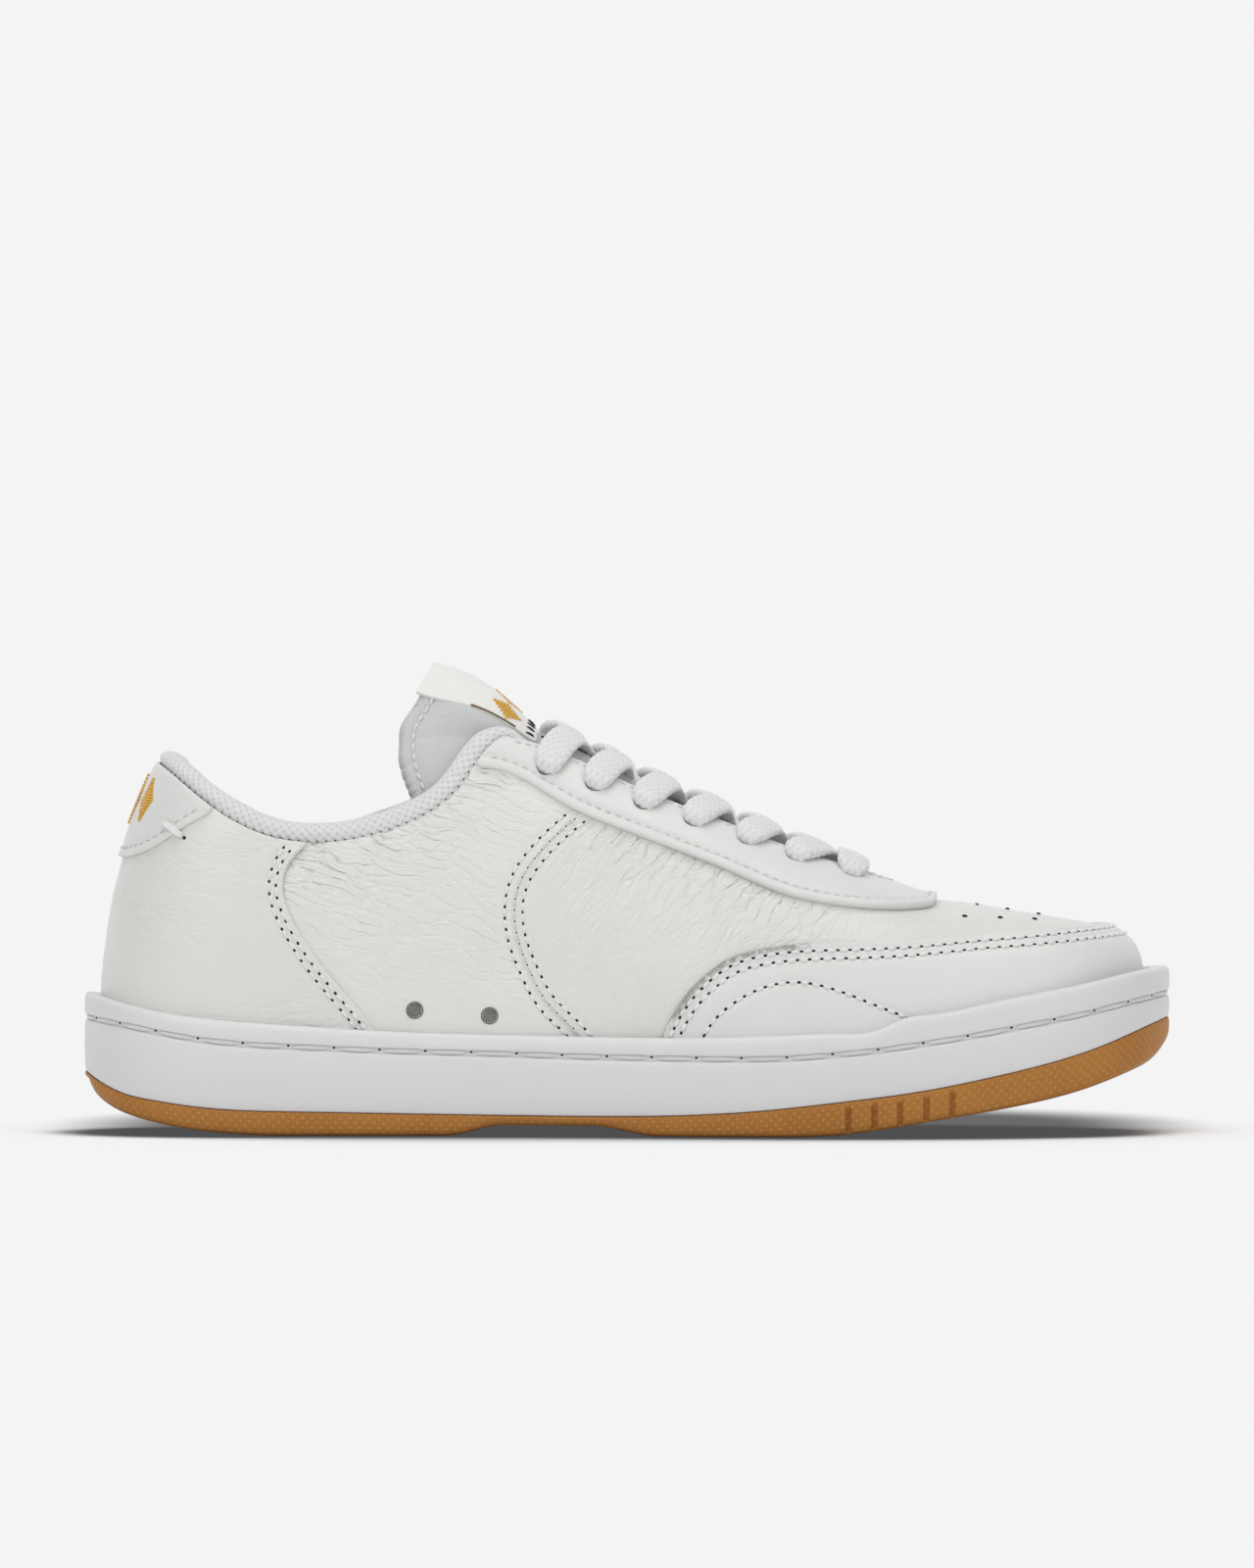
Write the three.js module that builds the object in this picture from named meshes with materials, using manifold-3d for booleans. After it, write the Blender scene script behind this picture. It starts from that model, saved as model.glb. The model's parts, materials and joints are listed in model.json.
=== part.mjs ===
// Low-top leather court shoe for the left foot, as an assembly of its separate pieces.
// Millimetres. +X points to the toe, +Y to the outer (lateral) side, +Z up, ground at Z = 0.
import * as THREE from "three";
import { mergeVertices } from "three/addons/utils/BufferGeometryUtils.js";
import Module from "manifold-3d";

const wasm = await Module();
wasm.setup();

// ---------------------------------------------------------------- driving dimensions
const COLUMNS = 18; // lattice columns from heel to toe, on each side
const ROWS = 6; // lattice rows from feather edge to crest
const GAP = 0.35; // clearance between pieces that touch on the real shoe
const MIDDLE = [-0.47, 1.57]; // middle of the sole in plan; it becomes the origin
const LEATHER = 1.35; // main leather
const OVERLAY = 1.4; // toe overlay and heel tab
const EYESTAY = 1.8; // folded eyestay
const STIFFENER = 0.9; // heel counter and toe puff
const LINING = 0.85;

// Plan of the upper at its feather edge, heel to toe: [x, medial y, lateral y].
const FEATHER = [
  [-144.4, 0, 0],
  [-141.4, -14.5, 14.5],
  [-132, -25.5, 25.5],
  [-114, -32, 32.5],
  [-86, -33, 35],
  [-56, -32, 38],
  [-26, -32.5, 43],
  [4, -38, 47.5],
  [34, -44, 49],
  [62, -45.5, 46.5],
  [86, -43, 41],
  [106, -38, 34],
  [122, -31, 26],
  [133, -20.5, 14],
  [138, -10, 3.5],
  [139.3, -3.5, -3.5],
];
// For the same stations: crest x, rise and run of the profile's two handles as shares of its
// height and depth, and the profile's turn in degrees, from straight ahead at the heel (90)
// through square to the side (0) to straight back at the toe (-90).
const PROFILE = [
  [-80, 0.44, 0.7, 90],
  [-79.6, 0.45, 0.68, 66],
  [-78.5, 0.46, 0.66, 42],
  [-76, 0.48, 0.63, 22],
  [-69, 0.5, 0.6, 7],
  [-54, 0.53, 0.62, 0],
  [-32, 0.56, 0.66, 0],
  [-6, 0.57, 0.64, 0],
  [22, 0.58, 0.61, 0],
  [48, 0.6, 0.61, -4],
  [68, 0.62, 0.63, -12],
  [82, 0.66, 0.67, -26],
  [91, 0.72, 0.74, -40],
  [96.5, 0.79, 0.82, -60],
  [99.3, 0.83, 0.88, -80],
  [100, 0.85, 0.9, -90],
];
// Height of the crest: a closed dome over the ankle, then the instep, then the toe box.
const CREST_Z = spline([
  [-80, 134], [-66, 132.5], [-53, 128], [-45, 124], [-35, 117.5], [-24, 110.8], [-10, 103.6],
  [4, 96.5], [18, 90.2], [32, 84], [46, 77.9], [60, 72.2], [72, 67], [82, 63.7], [92, 62.4],
  [100, 61.3],
]);
const CREST_Y = spline([[-80, 0], [-30, -2], [40, -3], [100, -3]]);
// Heights along the sole, all as seen from the side.
const BED_Z = spline([
  [-145, 21], [-100, 19], [-50, 16], [0, 13.5], [40, 13.3], [60, 15], [80, 18.2], [96, 21.5],
  [112, 25.6], [128, 30], [140, 34],
]);
const GUM_Z = spline([
  [-148, 16.2], [-139.4, 11.6], [-128.7, 9.1], [-118, 7.6], [-91, 6.3], [-22, 5.2], [15.6, 5.6],
  [37, 7], [58.4, 9.4], [80, 12.3], [96, 15.4], [117, 20.4], [132, 25.4], [140, 28.7], [148, 31.6],
]);
const RIM_Z = spline([
  [-148, 38.4], [-131.4, 34.2], [-112.7, 31.5], [-91.3, 29.9], [-64.6, 28.3], [-21.8, 27.1],
  [15.6, 26.8], [42, 27.6], [58, 28.1], [66.5, 28.8], [74.5, 32.2], [82.5, 33.3], [96, 35.9],
  [112, 39], [128, 42.2], [138.6, 44.4], [148, 45.6],
]);
const HEEL_EDGE_Z = spline([
  [-148.6, 17], [-147.2, 13.6], [-144.1, 9.6], [-140.8, 7.4], [-135.2, 5.1], [-127.7, 3.2],
  [-118, 1.5], [-98, 0],
]);
const TOE_EDGE_Z = spline([
  [46, 0], [58.4, 0.7], [69, 2.1], [85.4, 4.8], [101.7, 7.5], [112.7, 9.7], [123.7, 12.6],
  [137.3, 17.6], [144.4, 22], [148, 26.5],
]);
const HEEL_FLAT = [-98, -50]; // ground contact under the heel
const BALL_FLAT = [8, 46]; // ground contact under the ball of the foot
const ARCH_RISE = 2.8;
const SOLE_OUT = spline([[-148, 4], [-120, 4.8], [-60, 5.8], [60, 6], [110, 7], [140, 8.3]]);
const SOLE_FLOOR = 2; // thickness of the cup's floor
const GROOVE_Z = spline([
  [-148, 31.5], [-139, 30.1], [-127.3, 27.9], [-116.4, 26.1], [-102.8, 24.8], [-91, 24.2],
  [-65.6, 23.1], [-40, 22.4], [-16, 21.7], [8, 21.3], [31, 21.2], [44, 21.5], [57, 22.5], [70, 23.9],
  [81.5, 25.6], [93, 27.4], [105, 29.6], [117, 31.8], [127, 33.9], [135.5, 35.9], [148, 38.4],
]); // centre of the stitch groove
const GROOVE_DEPTH = 1.1;
const GROOVE_HALF = 1.1;
const NOTCH_X = [59.4, 66.2, 73, 79.8, 86.6];
const BOARD = 1.2; // strobel board
const SOCKLINER_FOAM = [0.2, 3.4]; // heights above the bed
const SOCKLINER_COVER = [3.4 + GAP, 4.6];

// Lines seen from the side, [x, z]. They hold for both sides of the shoe.
const TOP_LINE = [
  [-160, 101.3], [-129.5, 101.3], [-118.3, 93], [-110.6, 87.4], [-99.3, 81.8], [-88.1, 79.7],
  [-76.6, 80.5], [-65.4, 82.4], [-54.1, 87.4], [-47.5, 93], [-42.9, 99.2], [-38.4, 105.3],
  [-34.1, 108.3], [-28.2, 108.3], [-24, 106.2],
];
const ROLL_TOP = [
  [-160, 104.3], [-129, 104.3], [-121.8, 101.3], [-110.6, 93], [-99.3, 87.4], [-88.1, 85.6],
  [-76.6, 86.1], [-65.4, 89.6], [-54.1, 97.6], [-47.5, 103.2], [-41.8, 108.3], [-36.2, 111],
  [-30.6, 111], [-24, 108.8],
];
const HEEL_SEAM = [
  [-60, 12], [-69.7, 29.3], [-80.6, 42.7], [-85.4, 48.9], [-89.4, 55.1], [-92.9, 62.2],
  [-94, 68.4], [-92.9, 72.5], [-90.2, 76.5], [-86.3, 79.5], [-80, 84],
];
const SIDE_SEAM = [
  [-5, 12], [-14.6, 27.5], [-22.6, 35.4], [-27.7, 44.4], [-30.7, 52.1], [-32, 60.6],
  [-29.8, 70.4], [-26.4, 75.5], [-21.8, 80.6], [-14.9, 86.6], [0, 98],
];
const TOE_SEAM = [
  [4, 10], [9.5, 27], [13.5, 34.8], [17.8, 40.4], [22.3, 44.5], [26.9, 47.7], [32, 49.6],
  [38, 50.8], [63, 51.9], [101.7, 53.9], [128, 55.7], [150, 56.2],
];
const EYESTAY_EDGE = [
  [-60, 100.6], [-42.9, 99.7], [-32.5, 97.9], [-25, 93.9], [-15.2, 88.2], [-2.5, 82.9],
  [12.4, 77.3], [27.5, 71.4], [42.5, 65.2], [57.6, 62.1], [72.6, 61.2], [80.1, 61.8],
  [83, 63.8], [83.4, 72],
];
const HEEL_TAB_EDGE = [
  [-160, 74.6], [-140.2, 74.6], [-135.5, 75.3], [-130.2, 77.3], [-124.5, 80.8], [-119.1, 84.4],
  [-112, 88.6], [-106, 96],
];
const LINING_SEAM = [[-66, 12], [-44, 60], [-30, 120]];
const TONGUE_EDGE = [
  [-56, 96], [-50, 93], [-36, 90], [-15, 81], [12, 71], [40, 61.5], [60, 58], [69, 57],
];
const TONGUE_END = [
  [-51, 131], [-54.5, 126], [-58.2, 119], [-61.1, 114.7], [-62.2, 108], [-61.9, 103.5],
  [-60.2, 97], [-56, 92],
];
// The label's half-width across the tongue, and where it ends in front.
const LABEL_HALF = spline([[-62, 12.4], [-50, 12], [-38, 10.6], [-24, 9]]);
const LABEL_FRONT_X = -25;
const BINDING_WIDTH = 3.6;

// Throat, in plan: half-width along x, and its rounded end.
const THROAT = spline([
  [-60, 20], [-38, 15.6], [-24, 13], [-4, 13.7], [20, 14.2], [40, 14.1], [52, 12.9], [62, 10.2],
]);
const THROAT_END_X = 62;
const THROAT_END_LENGTH = 8;
const EYELET_X = [60, 44.8, 31.7, 17.2, 3.6, -9.5, -22.6];
// Distance of the eyelets from the crest, along x.
const EYELET_OUT = spline([
  [-22.6, 17], [-9.5, 17.4], [3.6, 18.1], [17.2, 18.4], [31.7, 18.6], [44.8, 18.2], [60, 16.2],
]);
const EYELET_R = 2.4;
const VENTS = [[-37.8, 32.5], [-58.2, 34]]; // medial side only
const VENT_R = 2.45;

// Depths below the outer face of the main leather.
const STIFFENER_TOP = -(LEATHER + GAP);
const LINING_TOP = STIFFENER_TOP - STIFFENER - GAP;
const LINING_BOTTOM = LINING_TOP - LINING;
const COLLAR_PADDING = 4; // extra thickness of the collar foam
const PADDED_X = [-86, -66]; // the padding fades out between these
const PADDED_Z = [56, 72];

// Lace and tongue
const LACE_WIDTH = 7;
const LACE_THICKNESS = 1.2;
const LACE_BUNCH = 3; // side of the lace where it is bunched in an eyelet
const LACE_UNDER = LINING_BOTTOM - GAP - 0.1 - LACE_THICKNESS / 2;
const LACE_OVER = GAP + EYESTAY + GAP + 0.7 + LACE_THICKNESS / 2;
const TONGUE_TOP = LACE_UNDER - LACE_THICKNESS / 2 - GAP - 0.1;
const TONGUE_FACE = 1;
const TONGUE_FOAM = 4;
const TONGUE_LINING = 0.85;
const LABEL_THICKNESS = 0.7;
const SWELL_LACED = 0.6; // rise of the tongue's middle under the lacing
const SWELL_FREE = 4.8; // its extra rise where it is free, reached between SWELL_X
const SWELL_X = [-50, -8];

// ---------------------------------------------------------------- maths
// Natural cubic through [x, y] knots, straight beyond its ends.
function spline(knots) {
  const n = knots.length;
  const xs = knots.map((k) => k[0]);
  const ys = knots.map((k) => k[1]);
  const second = new Array(n).fill(0);
  const carry = new Array(n).fill(0);
  for (let i = 1; i < n - 1; i++) {
    const share = (xs[i] - xs[i - 1]) / (xs[i + 1] - xs[i - 1]);
    const pivot = share * second[i - 1] + 2;
    second[i] = (share - 1) / pivot;
    const bend = (ys[i + 1] - ys[i]) / (xs[i + 1] - xs[i]) - (ys[i] - ys[i - 1]) / (xs[i] - xs[i - 1]);
    carry[i] = ((6 * bend) / (xs[i + 1] - xs[i - 1]) - share * carry[i - 1]) / pivot;
  }
  second[n - 1] = 0;
  for (let i = n - 2; i >= 0; i--) second[i] = second[i] * second[i + 1] + carry[i];
  return (x) => {
    let i = 0;
    while (i < n - 2 && x > xs[i + 1]) i++;
    const h = xs[i + 1] - xs[i];
    const end = x < xs[0] ? 0 : x > xs[n - 1] ? n - 1 : -1;
    if (end >= 0) {
      const chord = (ys[i + 1] - ys[i]) / h;
      const neighbour = second[i + (end ? 0 : 1)];
      const slope = chord + ((end ? 1 : -1) * h * (neighbour + 2 * second[end])) / 6;
      return ys[end] + slope * (x - xs[end]);
    }
    const a = (xs[i + 1] - x) / h;
    const b = 1 - a;
    const curl = (a ** 3 - a) * second[i] + (b ** 3 - b) * second[i + 1];
    return a * ys[i] + b * ys[i + 1] + (curl * h * h) / 6;
  };
}

const smooth = (x, lo, hi) => {
  const t = Math.min(1, Math.max(0, (x - lo) / (hi - lo)));
  return t * t * (3 - 2 * t);
};
const radians = (degrees) => (degrees * Math.PI) / 180;

// Stations are spaced by their distance along the feather edge.
const STATION_U = (() => {
  const u = [0];
  for (let i = 1; i < FEATHER.length; i++) {
    const [x0, m0, l0] = FEATHER[i - 1];
    const [x1, m1, l1] = FEATHER[i];
    u.push(u[i - 1] + (Math.hypot(x1 - x0, m1 - m0) + Math.hypot(x1 - x0, l1 - l0)) / 2);
  }
  return u.map((d) => d / u[u.length - 1]);
})();

// A closed loop runs heel, medial side, toe, lateral side, so that it is smooth at both ends.
function loop(pick) {
  const last = FEATHER.length - 1;
  const once = [];
  for (let i = 0; i < last; i++) once.push([STATION_U[i], pick(FEATHER[i], -1)]);
  for (let i = last; i > 0; i--) once.push([2 - STATION_U[i], pick(FEATHER[i], 1)]);
  const knots = [-2, 0, 2].flatMap((shift) => once.map(([u, v]) => [u + shift, v]));
  return spline(knots);
}
const featherX = loop((f) => f[0]);
const featherY = loop((f, side) => f[side < 0 ? 1 : 2]);
const along = (k) => spline(PROFILE.map((p, i) => [STATION_U[i], p[k]]));
const crestX = along(0);
const riseShare = along(1);
const runShare = along(2);
const turn = along(3);

// Change of a curve over one millimetre at x.
const slopeOf = (curve, x) => curve(x + 0.5) - curve(x - 0.5);

// Point of the leather's outer face: u from heel 0 to toe 1, v from feather edge 0 to crest 1.
function facePoint(u, v, side) {
  const w = side < 0 ? u : 2 - u;
  const x = featherX(w);
  const foot = new THREE.Vector3(x, featherY(w), BED_Z(x));
  const cx = crestX(u);
  const crest = new THREE.Vector3(cx, CREST_Y(cx), CREST_Z(cx));
  const crestRun = new THREE.Vector3(1, slopeOf(CREST_Y, cx), slopeOf(CREST_Z, cx)).normalize();
  const angle = radians(turn(u));
  const inward = new THREE.Vector3(0, -side * Math.cos(angle), 0);
  inward.addScaledVector(crestRun, Math.sin(angle));
  const out = outward(u, side);
  const depth = Math.hypot(crest.x - foot.x, crest.y - foot.y);
  const flare = 2.4 - 1.4 * smooth(u, 0, 0.25); // the wall swells a little above the feather edge
  const low = foot.clone().addScaledVector(out, flare);
  low.z += riseShare(u) * (crest.z - foot.z);
  const high = crest.clone().addScaledVector(inward, -runShare(u) * depth);
  return new THREE.CubicBezierCurve3(foot, low, high, crest).getPoint(v);
}

// Outward direction of the feather edge in plan.
function outward(u, side) {
  const w = side < 0 ? u : 2 - u;
  const h = 1e-3;
  const before = new THREE.Vector2(featherX(w - h), featherY(w - h));
  const tangent = new THREE.Vector2(featherX(w + h), featherY(w + h)).sub(before).normalize();
  return new THREE.Vector3(tangent.y, -tangent.x, 0);
}

// ---------------------------------------------------------------- solids
function geometryOf(points, faces) {
  const g = new THREE.BufferGeometry();
  const numbers = points.flatMap((p) => [p.x, p.y, p.z]);
  g.setAttribute("position", new THREE.Float32BufferAttribute(numbers, 3));
  g.setIndex(faces.flat());
  return g;
}

function solid(geometry) {
  const g = geometry.clone();
  g.deleteAttribute("normal");
  g.deleteAttribute("uv");
  const merged = mergeVertices(g, 1e-4);
  const index = merged.index.array;
  const kept = [];
  for (let i = 0; i < index.length; i += 3) {
    const [a, b, c] = [index[i], index[i + 1], index[i + 2]];
    if (a !== b && b !== c && a !== c) kept.push(a, b, c);
  }
  const mesh = new wasm.Mesh({
    numProp: 3,
    vertProperties: Float32Array.from(merged.attributes.position.array),
    triVerts: Uint32Array.from(kept),
  });
  return new wasm.Manifold(mesh);
}

function geometryFrom(manifold) {
  const m = manifold.getMesh();
  const g = new THREE.BufferGeometry();
  const points = new Float32Array(m.numVert * 3);
  for (let i = 0; i < m.numVert; i++) {
    const start = i * m.numProp;
    points.set(m.vertProperties.subarray(start, start + 3), i * 3);
  }
  g.setAttribute("position", new THREE.BufferAttribute(points, 3));
  g.setIndex(new THREE.BufferAttribute(Uint32Array.from(m.triVerts), 1));
  return g;
}

// The largest of a solid's separate bodies, without crumbs a cut may leave.
function mainBody(manifold) {
  return manifold.decompose().reduce((a, b) => (b.volume() > a.volume() ? b : a));
}

// Columns of the lattice: heel, medial side, toe, lateral side, as [u, side].
// They stand closer together round the heel and the toe.
const columnU = (i) => 0.6 * (i / COLUMNS) + 0.2 * (1 - Math.cos((Math.PI * i) / COLUMNS));
const RING = [];
for (let i = 0; i < COLUMNS; i++) RING.push([columnU(i), -1]);
for (let i = COLUMNS; i > 0; i--) RING.push([columnU(i), 1]);

// The dome: the whole upper as one closed surface, with its normals.
const dome = (() => {
  const points = [];
  for (let j = 0; j <= ROWS; j++) {
    for (const [u, side] of RING) points.push(facePoint(u, j / ROWS, side));
  }
  const n = RING.length;
  const faces = [];
  for (let j = 0; j < ROWS; j++)
    for (let k = 0; k < n; k++) {
      const [a, b] = [j * n + k, j * n + ((k + 1) % n)];
      faces.push([a, b, b + n], [a, b + n, a + n]);
    }
  const crestTwin = (k) => (k === 0 || k === COLUMNS ? k : n - k);
  const normals = points.map(() => new THREE.Vector3());
  for (const [a, b, c] of faces) {
    const normal = points[b].clone().sub(points[a]).cross(points[c].clone().sub(points[a]));
    for (const i of [a, b, c]) normals[i].add(normal);
  }
  for (let k = 0; k < n; k++) {
    const [a, b] = [ROWS * n + k, ROWS * n + crestTwin(k)];
    if (a < b) {
      normals[a].add(normals[b]);
      normals[b].copy(normals[a]);
      points[b].copy(points[a]);
    }
  }
  normals.forEach((v) => v.normalize());
  // the feather edge faces squarely out, so that every layer stands on the bed
  RING.forEach(([u, side], k) => normals[k].copy(outward(u, side)));
  return { points, faces, normals, n };
})();

// The dome's points moved out along their normals, by a number or by a function of the point.
function lifted(depth) {
  const amount = typeof depth === "number" ? () => depth : depth;
  return dome.points.map((p, i) => p.clone().addScaledVector(dome.normals[i], amount(p)));
}

// A layer of the upper between two depths, in millimetres out from the leather's face.
function layer(low, high) {
  const outer = lifted(high);
  const inner = lifted(low);
  const count = outer.length;
  const faces = [...dome.faces, ...dome.faces.map(([a, b, c]) => [a + count, c + count, b + count])];
  for (let k = 0; k < dome.n; k++) {
    const next = (k + 1) % dome.n;
    faces.push([next, k, k + count], [next, k + count, next + count]);
  }
  return solid(geometryOf([...outer, ...inner], faces));
}

// Rings of the same column count, joined from the lowest up and closed by strips across the shoe.
function stack(rings) {
  const n = RING.length;
  const points = rings.flat();
  const faces = [];
  for (let j = 0; j < rings.length - 1; j++)
    for (let k = 0; k < n; k++) {
      const [a, b] = [j * n + k, j * n + ((k + 1) % n)];
      faces.push([a, b, b + n], [a, b + n, a + n]);
    }
  const top = (rings.length - 1) * n;
  const cap = (a, b, c) => {
    faces.push([c, b, a]);
    faces.push([a + top, b + top, c + top]);
  };
  for (let i = 0; i < COLUMNS; i++) {
    const [m0, m1] = [i, i + 1];
    const [l0, l1] = [(n - i) % n, n - i - 1];
    if (i > 0) cap(m0, m1, l0);
    if (i < COLUMNS - 1) cap(m1, l1, l0);
  }
  return solid(geometryOf(points, faces));
}

// A ring of the sole: the feather edge moved out by an amount, at a height that depends on x.
function soleRing(out, height) {
  return RING.map(([u, side]) => {
    const w = side < 0 ? u : 2 - u;
    const p = new THREE.Vector3(featherX(w), featherY(w), 0);
    p.addScaledVector(outward(u, side), out(p.x));
    p.z = height(p.x);
    return p;
  });
}

const WIDE = 90; // beyond both sides of the shoe
// A prism across the shoe from its outline as seen from the side, [x, z] in order.
function sidePrism(outline, yLow = -WIDE, yHigh = WIDE) {
  const shape = new THREE.Shape(outline.map(([x, z]) => new THREE.Vector2(x, z)));
  const g = new THREE.ExtrudeGeometry(shape, { depth: yHigh - yLow, bevelEnabled: false });
  g.rotateX(Math.PI / 2).translate(0, yHigh, 0);
  return solid(g);
}

// A prism straight up from its outline in plan, [x, y] in order.
function planPrism(outline, zLow, zHigh) {
  const shape = new THREE.Shape(outline.map(([x, y]) => new THREE.Vector2(x, y)));
  const g = new THREE.ExtrudeGeometry(shape, { depth: zHigh - zLow, bevelEnabled: false });
  g.translate(0, 0, zLow);
  return solid(g);
}

const shifted = (line, dx, dz = 0) => line.map(([x, z]) => [x + dx, z + dz]);
const [FAR, HIGH, DEEP] = [220, 220, -30];
const behind = (line) => {
  const [first, last] = [line[0], line[line.length - 1]];
  return sidePrism([...line, [last[0], HIGH], [-FAR, HIGH], [-FAR, DEEP], [first[0], DEEP]]);
};
const ahead = (line) => {
  const [first, last] = [line[0], line[line.length - 1]];
  return sidePrism([...line, [last[0], HIGH], [FAR, HIGH], [FAR, DEEP], [first[0], DEEP]]);
};
const above = (line) => {
  const [first, last] = [line[0], line[line.length - 1]];
  return sidePrism([...line, [last[0], HIGH], [first[0], HIGH]]);
};
const below = (line) => {
  const [first, last] = [line[0], line[line.length - 1]];
  return sidePrism([...line, [last[0], DEEP], [first[0], DEEP]]);
};
const everything = [[-FAR, DEEP], [FAR, DEEP], [FAR, HIGH], [-FAR, HIGH]];
const medialHalf = () => sidePrism(everything, -WIDE, CREST_Y(0));

// Where a straight line meets the dome, with the smooth normal and the tongue's swell there.
const caster = (() => {
  const g = geometryOf(dome.points, dome.faces);
  return new THREE.Mesh(g, new THREE.MeshBasicMaterial({ side: THREE.DoubleSide }));
})();
function meet(origin, direction) {
  const hit = new THREE.Raycaster(origin, direction).intersectObject(caster)[0];
  const corners = [hit.face.a, hit.face.b, hit.face.c];
  const places = corners.map((i) => dome.points[i]);
  const share = THREE.Triangle.getBarycoord(hit.point, ...places, new THREE.Vector3());
  const normal = new THREE.Vector3();
  let rise = 0;
  corners.forEach((i, k) => {
    normal.addScaledVector(dome.normals[i], share.getComponent(k));
    rise += swell(dome.points[i]) * share.getComponent(k);
  });
  return { point: hit.point, normal, rise };
}
const AWAY = 300; // start of a line towards the dome
const DOWN = new THREE.Vector3(0, 0, -1);
const fromAbove = (x, y) => meet(new THREE.Vector3(x, y, AWAY), DOWN);
function fromSide(x, z, side) {
  return meet(new THREE.Vector3(x, side * AWAY, z), new THREE.Vector3(0, -side, 0));
}

// Cylinder along the skin's normal between two depths.
function rivet(at, radius, low, high, segments = 10) {
  const g = new THREE.CylinderGeometry(radius, radius, high - low, segments, 1);
  g.translate(0, (high + low) / 2, 0);
  const axis = at.normal.clone().normalize();
  g.applyQuaternion(new THREE.Quaternion().setFromUnitVectors(new THREE.Vector3(0, 1, 0), axis));
  g.translate(at.point.x, at.point.y, at.point.z);
  return solid(g);
}

// ---------------------------------------------------------------- cutters
// The throat opening, an outline in plan.
function throat() {
  const stations = [-70, -48, -26, -4, 18, 40, 52];
  const edge = (side) => stations.map((x) => [x, CREST_Y(x) + side * THROAT(x)]);
  const end = [-90, -45, 0, 45, 90].map((degrees) => {
    const x = THROAT_END_X + THROAT_END_LENGTH * Math.cos(radians(degrees));
    return [x, CREST_Y(x) + THROAT(THROAT_END_X) * Math.sin(radians(degrees))];
  });
  return planPrism([...edge(-1), ...end, ...edge(1).reverse()], 30, HIGH);
}
const overTopLine = (line = TOP_LINE) => above([...line, [-14, line[line.length - 1][1] + 18]]);
const opening = (line) => overTopLine(line).add(throat());

const eyelets = EYELET_X.flatMap((x) => {
  const half = EYELET_OUT(x);
  return [-1, 1].map((side) => ({ x, side, ...fromAbove(x, CREST_Y(x) + side * half) }));
});
const joined = (solids) => solids.reduce((a, b) => a.add(b));
const THROUGH = 8; // a punch's reach on either side of the dome
const punch = (sides) => joined(eyelets.map((e) => rivet(e, EYELET_R, -THROUGH, THROUGH, sides)));
const eyeletHoles = punch(8);
const hiddenHoles = punch(6);
const vents = VENTS.map(([x, z]) => fromSide(x, z, -1));
const ventHoles = joined(vents.map((at) => rivet(at, VENT_R + 0.3, -THROUGH, 3, 12)));

// ---------------------------------------------------------------- sole
const ARCH_FLAT = [-34, -10]; // the arch is at its full rise between these
function smoothArch(x) {
  const leave = smooth(x, HEEL_FLAT[1], ARCH_FLAT[0]);
  const land = smooth(x, ARCH_FLAT[1], BALL_FLAT[0]);
  return ARCH_RISE * leave * (1 - land);
}
function treadZ(x) {
  if (x < HEEL_FLAT[0]) return HEEL_EDGE_Z(x);
  if (x > BALL_FLAT[1]) return TOE_EDGE_Z(x);
  return smoothArch(x);
}
// Extra room the toe overlay takes inside the cup.
const overlayRoom = (x) => (OVERLAY + GAP) * smooth(x, -6, 2);
const cupInside = (x) => 0.95 + 0.55 * (1 - smooth(x, -130, -60)) + overlayRoom(x);
const cupFloor = (x) => GUM_Z(x) + GAP + SOLE_FLOOR;
const out = (amount) => (x) => SOLE_OUT(x) + amount;

function outsole() {
  const block = stack([
    soleRing(out(-6), treadZ),
    soleRing(out(-0.9), (x) => treadZ(x) + 0.5),
    soleRing(out(0), (x) => Math.min(treadZ(x) + 1.6, GUM_Z(x) - 1)),
    soleRing(out(0), GUM_Z),
  ]);
  const core = stack([soleRing(out(-1.3), () => -9), soleRing(out(-1.3), () => 90)]);
  const slots = NOTCH_X.map((x) => {
    const top = GUM_Z(x) - 2;
    return sidePrism([[x - 0.75, -9], [x + 0.75, -9], [x + 0.75, top], [x - 0.75, top]]);
  });
  return slots.reduce((body, slot) => body.subtract(slot.subtract(core)), block);
}

// A band round the sole along the groove line, from an inset in the wall to a proud edge.
function grooveBand(inset, proud, half) {
  const block = (amount, reach) => stack([
    soleRing(out(amount), (x) => GROOVE_Z(x) - reach),
    soleRing(out(amount), (x) => GROOVE_Z(x) + reach),
  ]);
  const core = block(-inset, half + 5);
  return block(proud, half).subtract(core);
}

function cupsole() {
  const block = stack([
    soleRing(out(0), (x) => GUM_Z(x) + GAP),
    soleRing(out(0.2), (x) => GUM_Z(x) + 8),
    soleRing(out(0), (x) => RIM_Z(x) - 1),
    soleRing(out(-1), RIM_Z),
  ]);
  const room = stack([soleRing(cupInside, cupFloor), soleRing(cupInside, () => 90)]);
  return block.subtract(room).subtract(grooveBand(GROOVE_DEPTH, 2, GROOVE_HALF));
}

function plate(outside, low, high) {
  return stack([soleRing(outside, low), soleRing(outside, high)]);
}
const boardTop = (x) => BED_Z(x) - GAP;
const boardBottom = (x) => boardTop(x) - BOARD;
const strobelBoard = () => plate(() => -0.4, boardBottom, boardTop);
function midsoleInsert() {
  const wedge = plate((x) => cupInside(x) - GAP, (x) => cupFloor(x) + GAP, (x) => boardBottom(x) - GAP);
  return mainBody(wedge.intersect(behind([[98, 0], [98, 60]])));
}
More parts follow.
